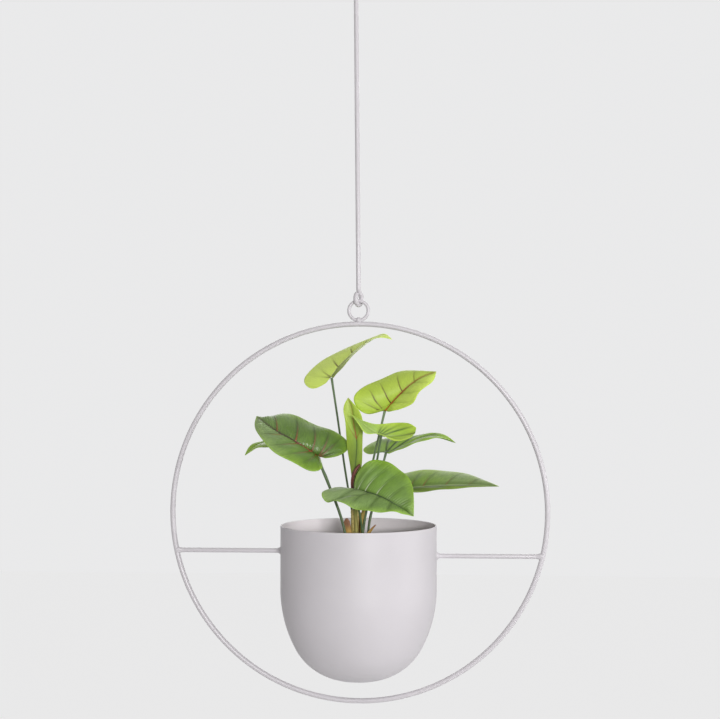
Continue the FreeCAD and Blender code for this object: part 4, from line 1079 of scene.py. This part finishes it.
count, lump_rows, lump_sides, field = 260, 6, 9, 59.0
up = np.linspace(-1, 1, lump_rows)[:, None] * math.pi / 2 * 0.98
turn = turns(lump_sides)[None, :]
lump = np.stack([np.cos(up) * np.cos(turn), np.cos(up) * np.sin(turn),
                 np.sin(up) + 0 * turn], axis=-1)
axes = np.linalg.qr(chance.normal(size=(count, 3, 3)))[0]
axes *= np.sign(np.linalg.det(axes))[:, None, None]
sizes = chance.uniform([1.0, 0.7, 0.4], [3.2, 1.8, 1.0], size=(count, 3))
dents = 1 + 0.16 * chance.normal(size=(count, lump_rows, lump_sides, 1))
far = field * np.sqrt(chance.uniform(0.03, 0.97, count))
way = chance.uniform(0, 2 * math.pi, count)
spots = np.stack([far * np.cos(way), far * np.sin(way), -0.6 + 0 * far], axis=1)
chips = np.einsum("rsk,nk,nkj->nrsj", lump, sizes, axes) * dents + spots[:, None, None]
first_points = np.arange(count) * lump_rows * lump_sides
chip_faces = tube_faces(lump_rows, lump_sides)[None] + first_points[:, None, None]
bark = as_mesh("bark_chips", chips + soil_top, chip_faces.reshape(-1, 4), bark_finish)
settle(bark, "plant", "potting_soil")

# %% [markdown]
# ## Floor and backdrop
#
# The planter hangs in a pale room. A wide floor far below and a world of the same pale grey
# give a plain ground. Both look brighter than they shine: `is_seen` tells the rays that show
# them, straight, in a mirror or through glass, from those that carry light. The floor keeps
# a quarter of its true shade, so that a shadow still shows on it.


# %% Floor
GROUND, GLOW, GLOW_SHARE = (0.82, 0.82, 0.825), (1.0, 1.0, 1.005), 0.75
FLOOR_LEVEL, FLOOR_REACH = -1900.0, 9000.0


def is_seen(tree):
    """1 for rays from the camera and for mirrored and passed ones, else 0."""
    looks = [step(tree, "LightPath", output="Is %s Ray" % kind)
             for kind in ("Camera", "Glossy", "Transmission")]
    first = step(tree, "Math", {0: looks[0], 1: looks[1]}, operation="MAXIMUM")
    return step(tree, "Math", {0: first, 1: looks[2]}, operation="MAXIMUM")


floor_finish, tree, shader = new_finish("floor", Base_Color=(0.8, 0.8, 0.8, 1), Roughness=0.9)
glow = tree.nodes.new("ShaderNodeEmission")
glow.inputs["Color"].default_value = (*GLOW, 1)
blend = tree.nodes.new("ShaderNodeMixShader")
tree.links.new(step(tree, "Math", {0: is_seen(tree), 1: GLOW_SHARE}, operation="MULTIPLY"),
               blend.inputs[0])
tree.links.new(shader.outputs[0], blend.inputs[1])
tree.links.new(glow.outputs[0], blend.inputs[2])
tree.links.new(blend.outputs[0], tree.nodes["Material Output"].inputs[0])
corners = np.array([[x * FLOOR_REACH, y * FLOOR_REACH, FLOOR_LEVEL]
                    for x, y in ((-1, -1), (1, -1), (1, 1), (-1, 1))])
floor = as_mesh("floor", corners, np.array([[0, 1, 2, 3]]), floor_finish)

# %% [markdown]
# ## Light
#
# Four soft lamps face the pot. A wide window at the right draws the bright side of the pot.
# A low card in front lights it too and, since it stands low, shines past the rim onto the
# inner wall. A weak lamp above reaches the leaves, and a broad one behind stands for what a
# wall gives back and edges the leaves with light. The world fills the shade, a little warm.

# %% Light
ROOM_LIGHT = 0.26
world = bpy.data.worlds.new("room")
bpy.context.scene.world = world
world.use_nodes = True
tree = world.node_tree
room, plain = tree.nodes["Background"], tree.nodes.new("ShaderNodeBackground")
room.inputs["Color"].default_value = (1.0, 0.968, 0.945, 1)
room.inputs["Strength"].default_value = ROOM_LIGHT
plain.inputs["Color"].default_value = (*GROUND, 1)
blend = tree.nodes.new("ShaderNodeMixShader")
tree.links.new(is_seen(tree), blend.inputs[0])
tree.links.new(room.outputs[0], blend.inputs[1])
tree.links.new(plain.outputs[0], blend.inputs[2])
tree.links.new(blend.outputs[0], tree.nodes["World Output"].inputs[0])


def lamp(name, turn, rise, distance, width, height, watts):
    """A soft lamp that faces the pot; turn 0 is the front, 90 the right. Sizes in metres."""
    target = Vector((0, 0, (hoop_middle[2] - 20) * MM))
    turn, rise = math.radians(turn), math.radians(rise)
    way = Vector((math.sin(turn) * math.cos(rise), -math.cos(turn) * math.cos(rise),
                  math.sin(rise)))
    light = bpy.data.lights.new(name, "AREA")
    light.shape, light.size, light.size_y, light.energy = "RECTANGLE", width, height, watts
    holder = bpy.data.objects.new(name, light)
    holder.location = target + way * distance
    holder.rotation_euler = (-way).to_track_quat("-Z", "Y").to_euler()
    bpy.context.scene.collection.objects.link(holder)


lamp("window", 82, 5.0, 2.4, 1.4, 0.25, 18)
lamp("front_card", 15, 6.0, 2.4, 0.7, 0.15, 32)
lamp("top_lamp", 14, 42, 2.2, 1.2, 1.2, 5)
lamp("wall_bounce", 180, 35, 2.4, 2.0, 2.0, 18)
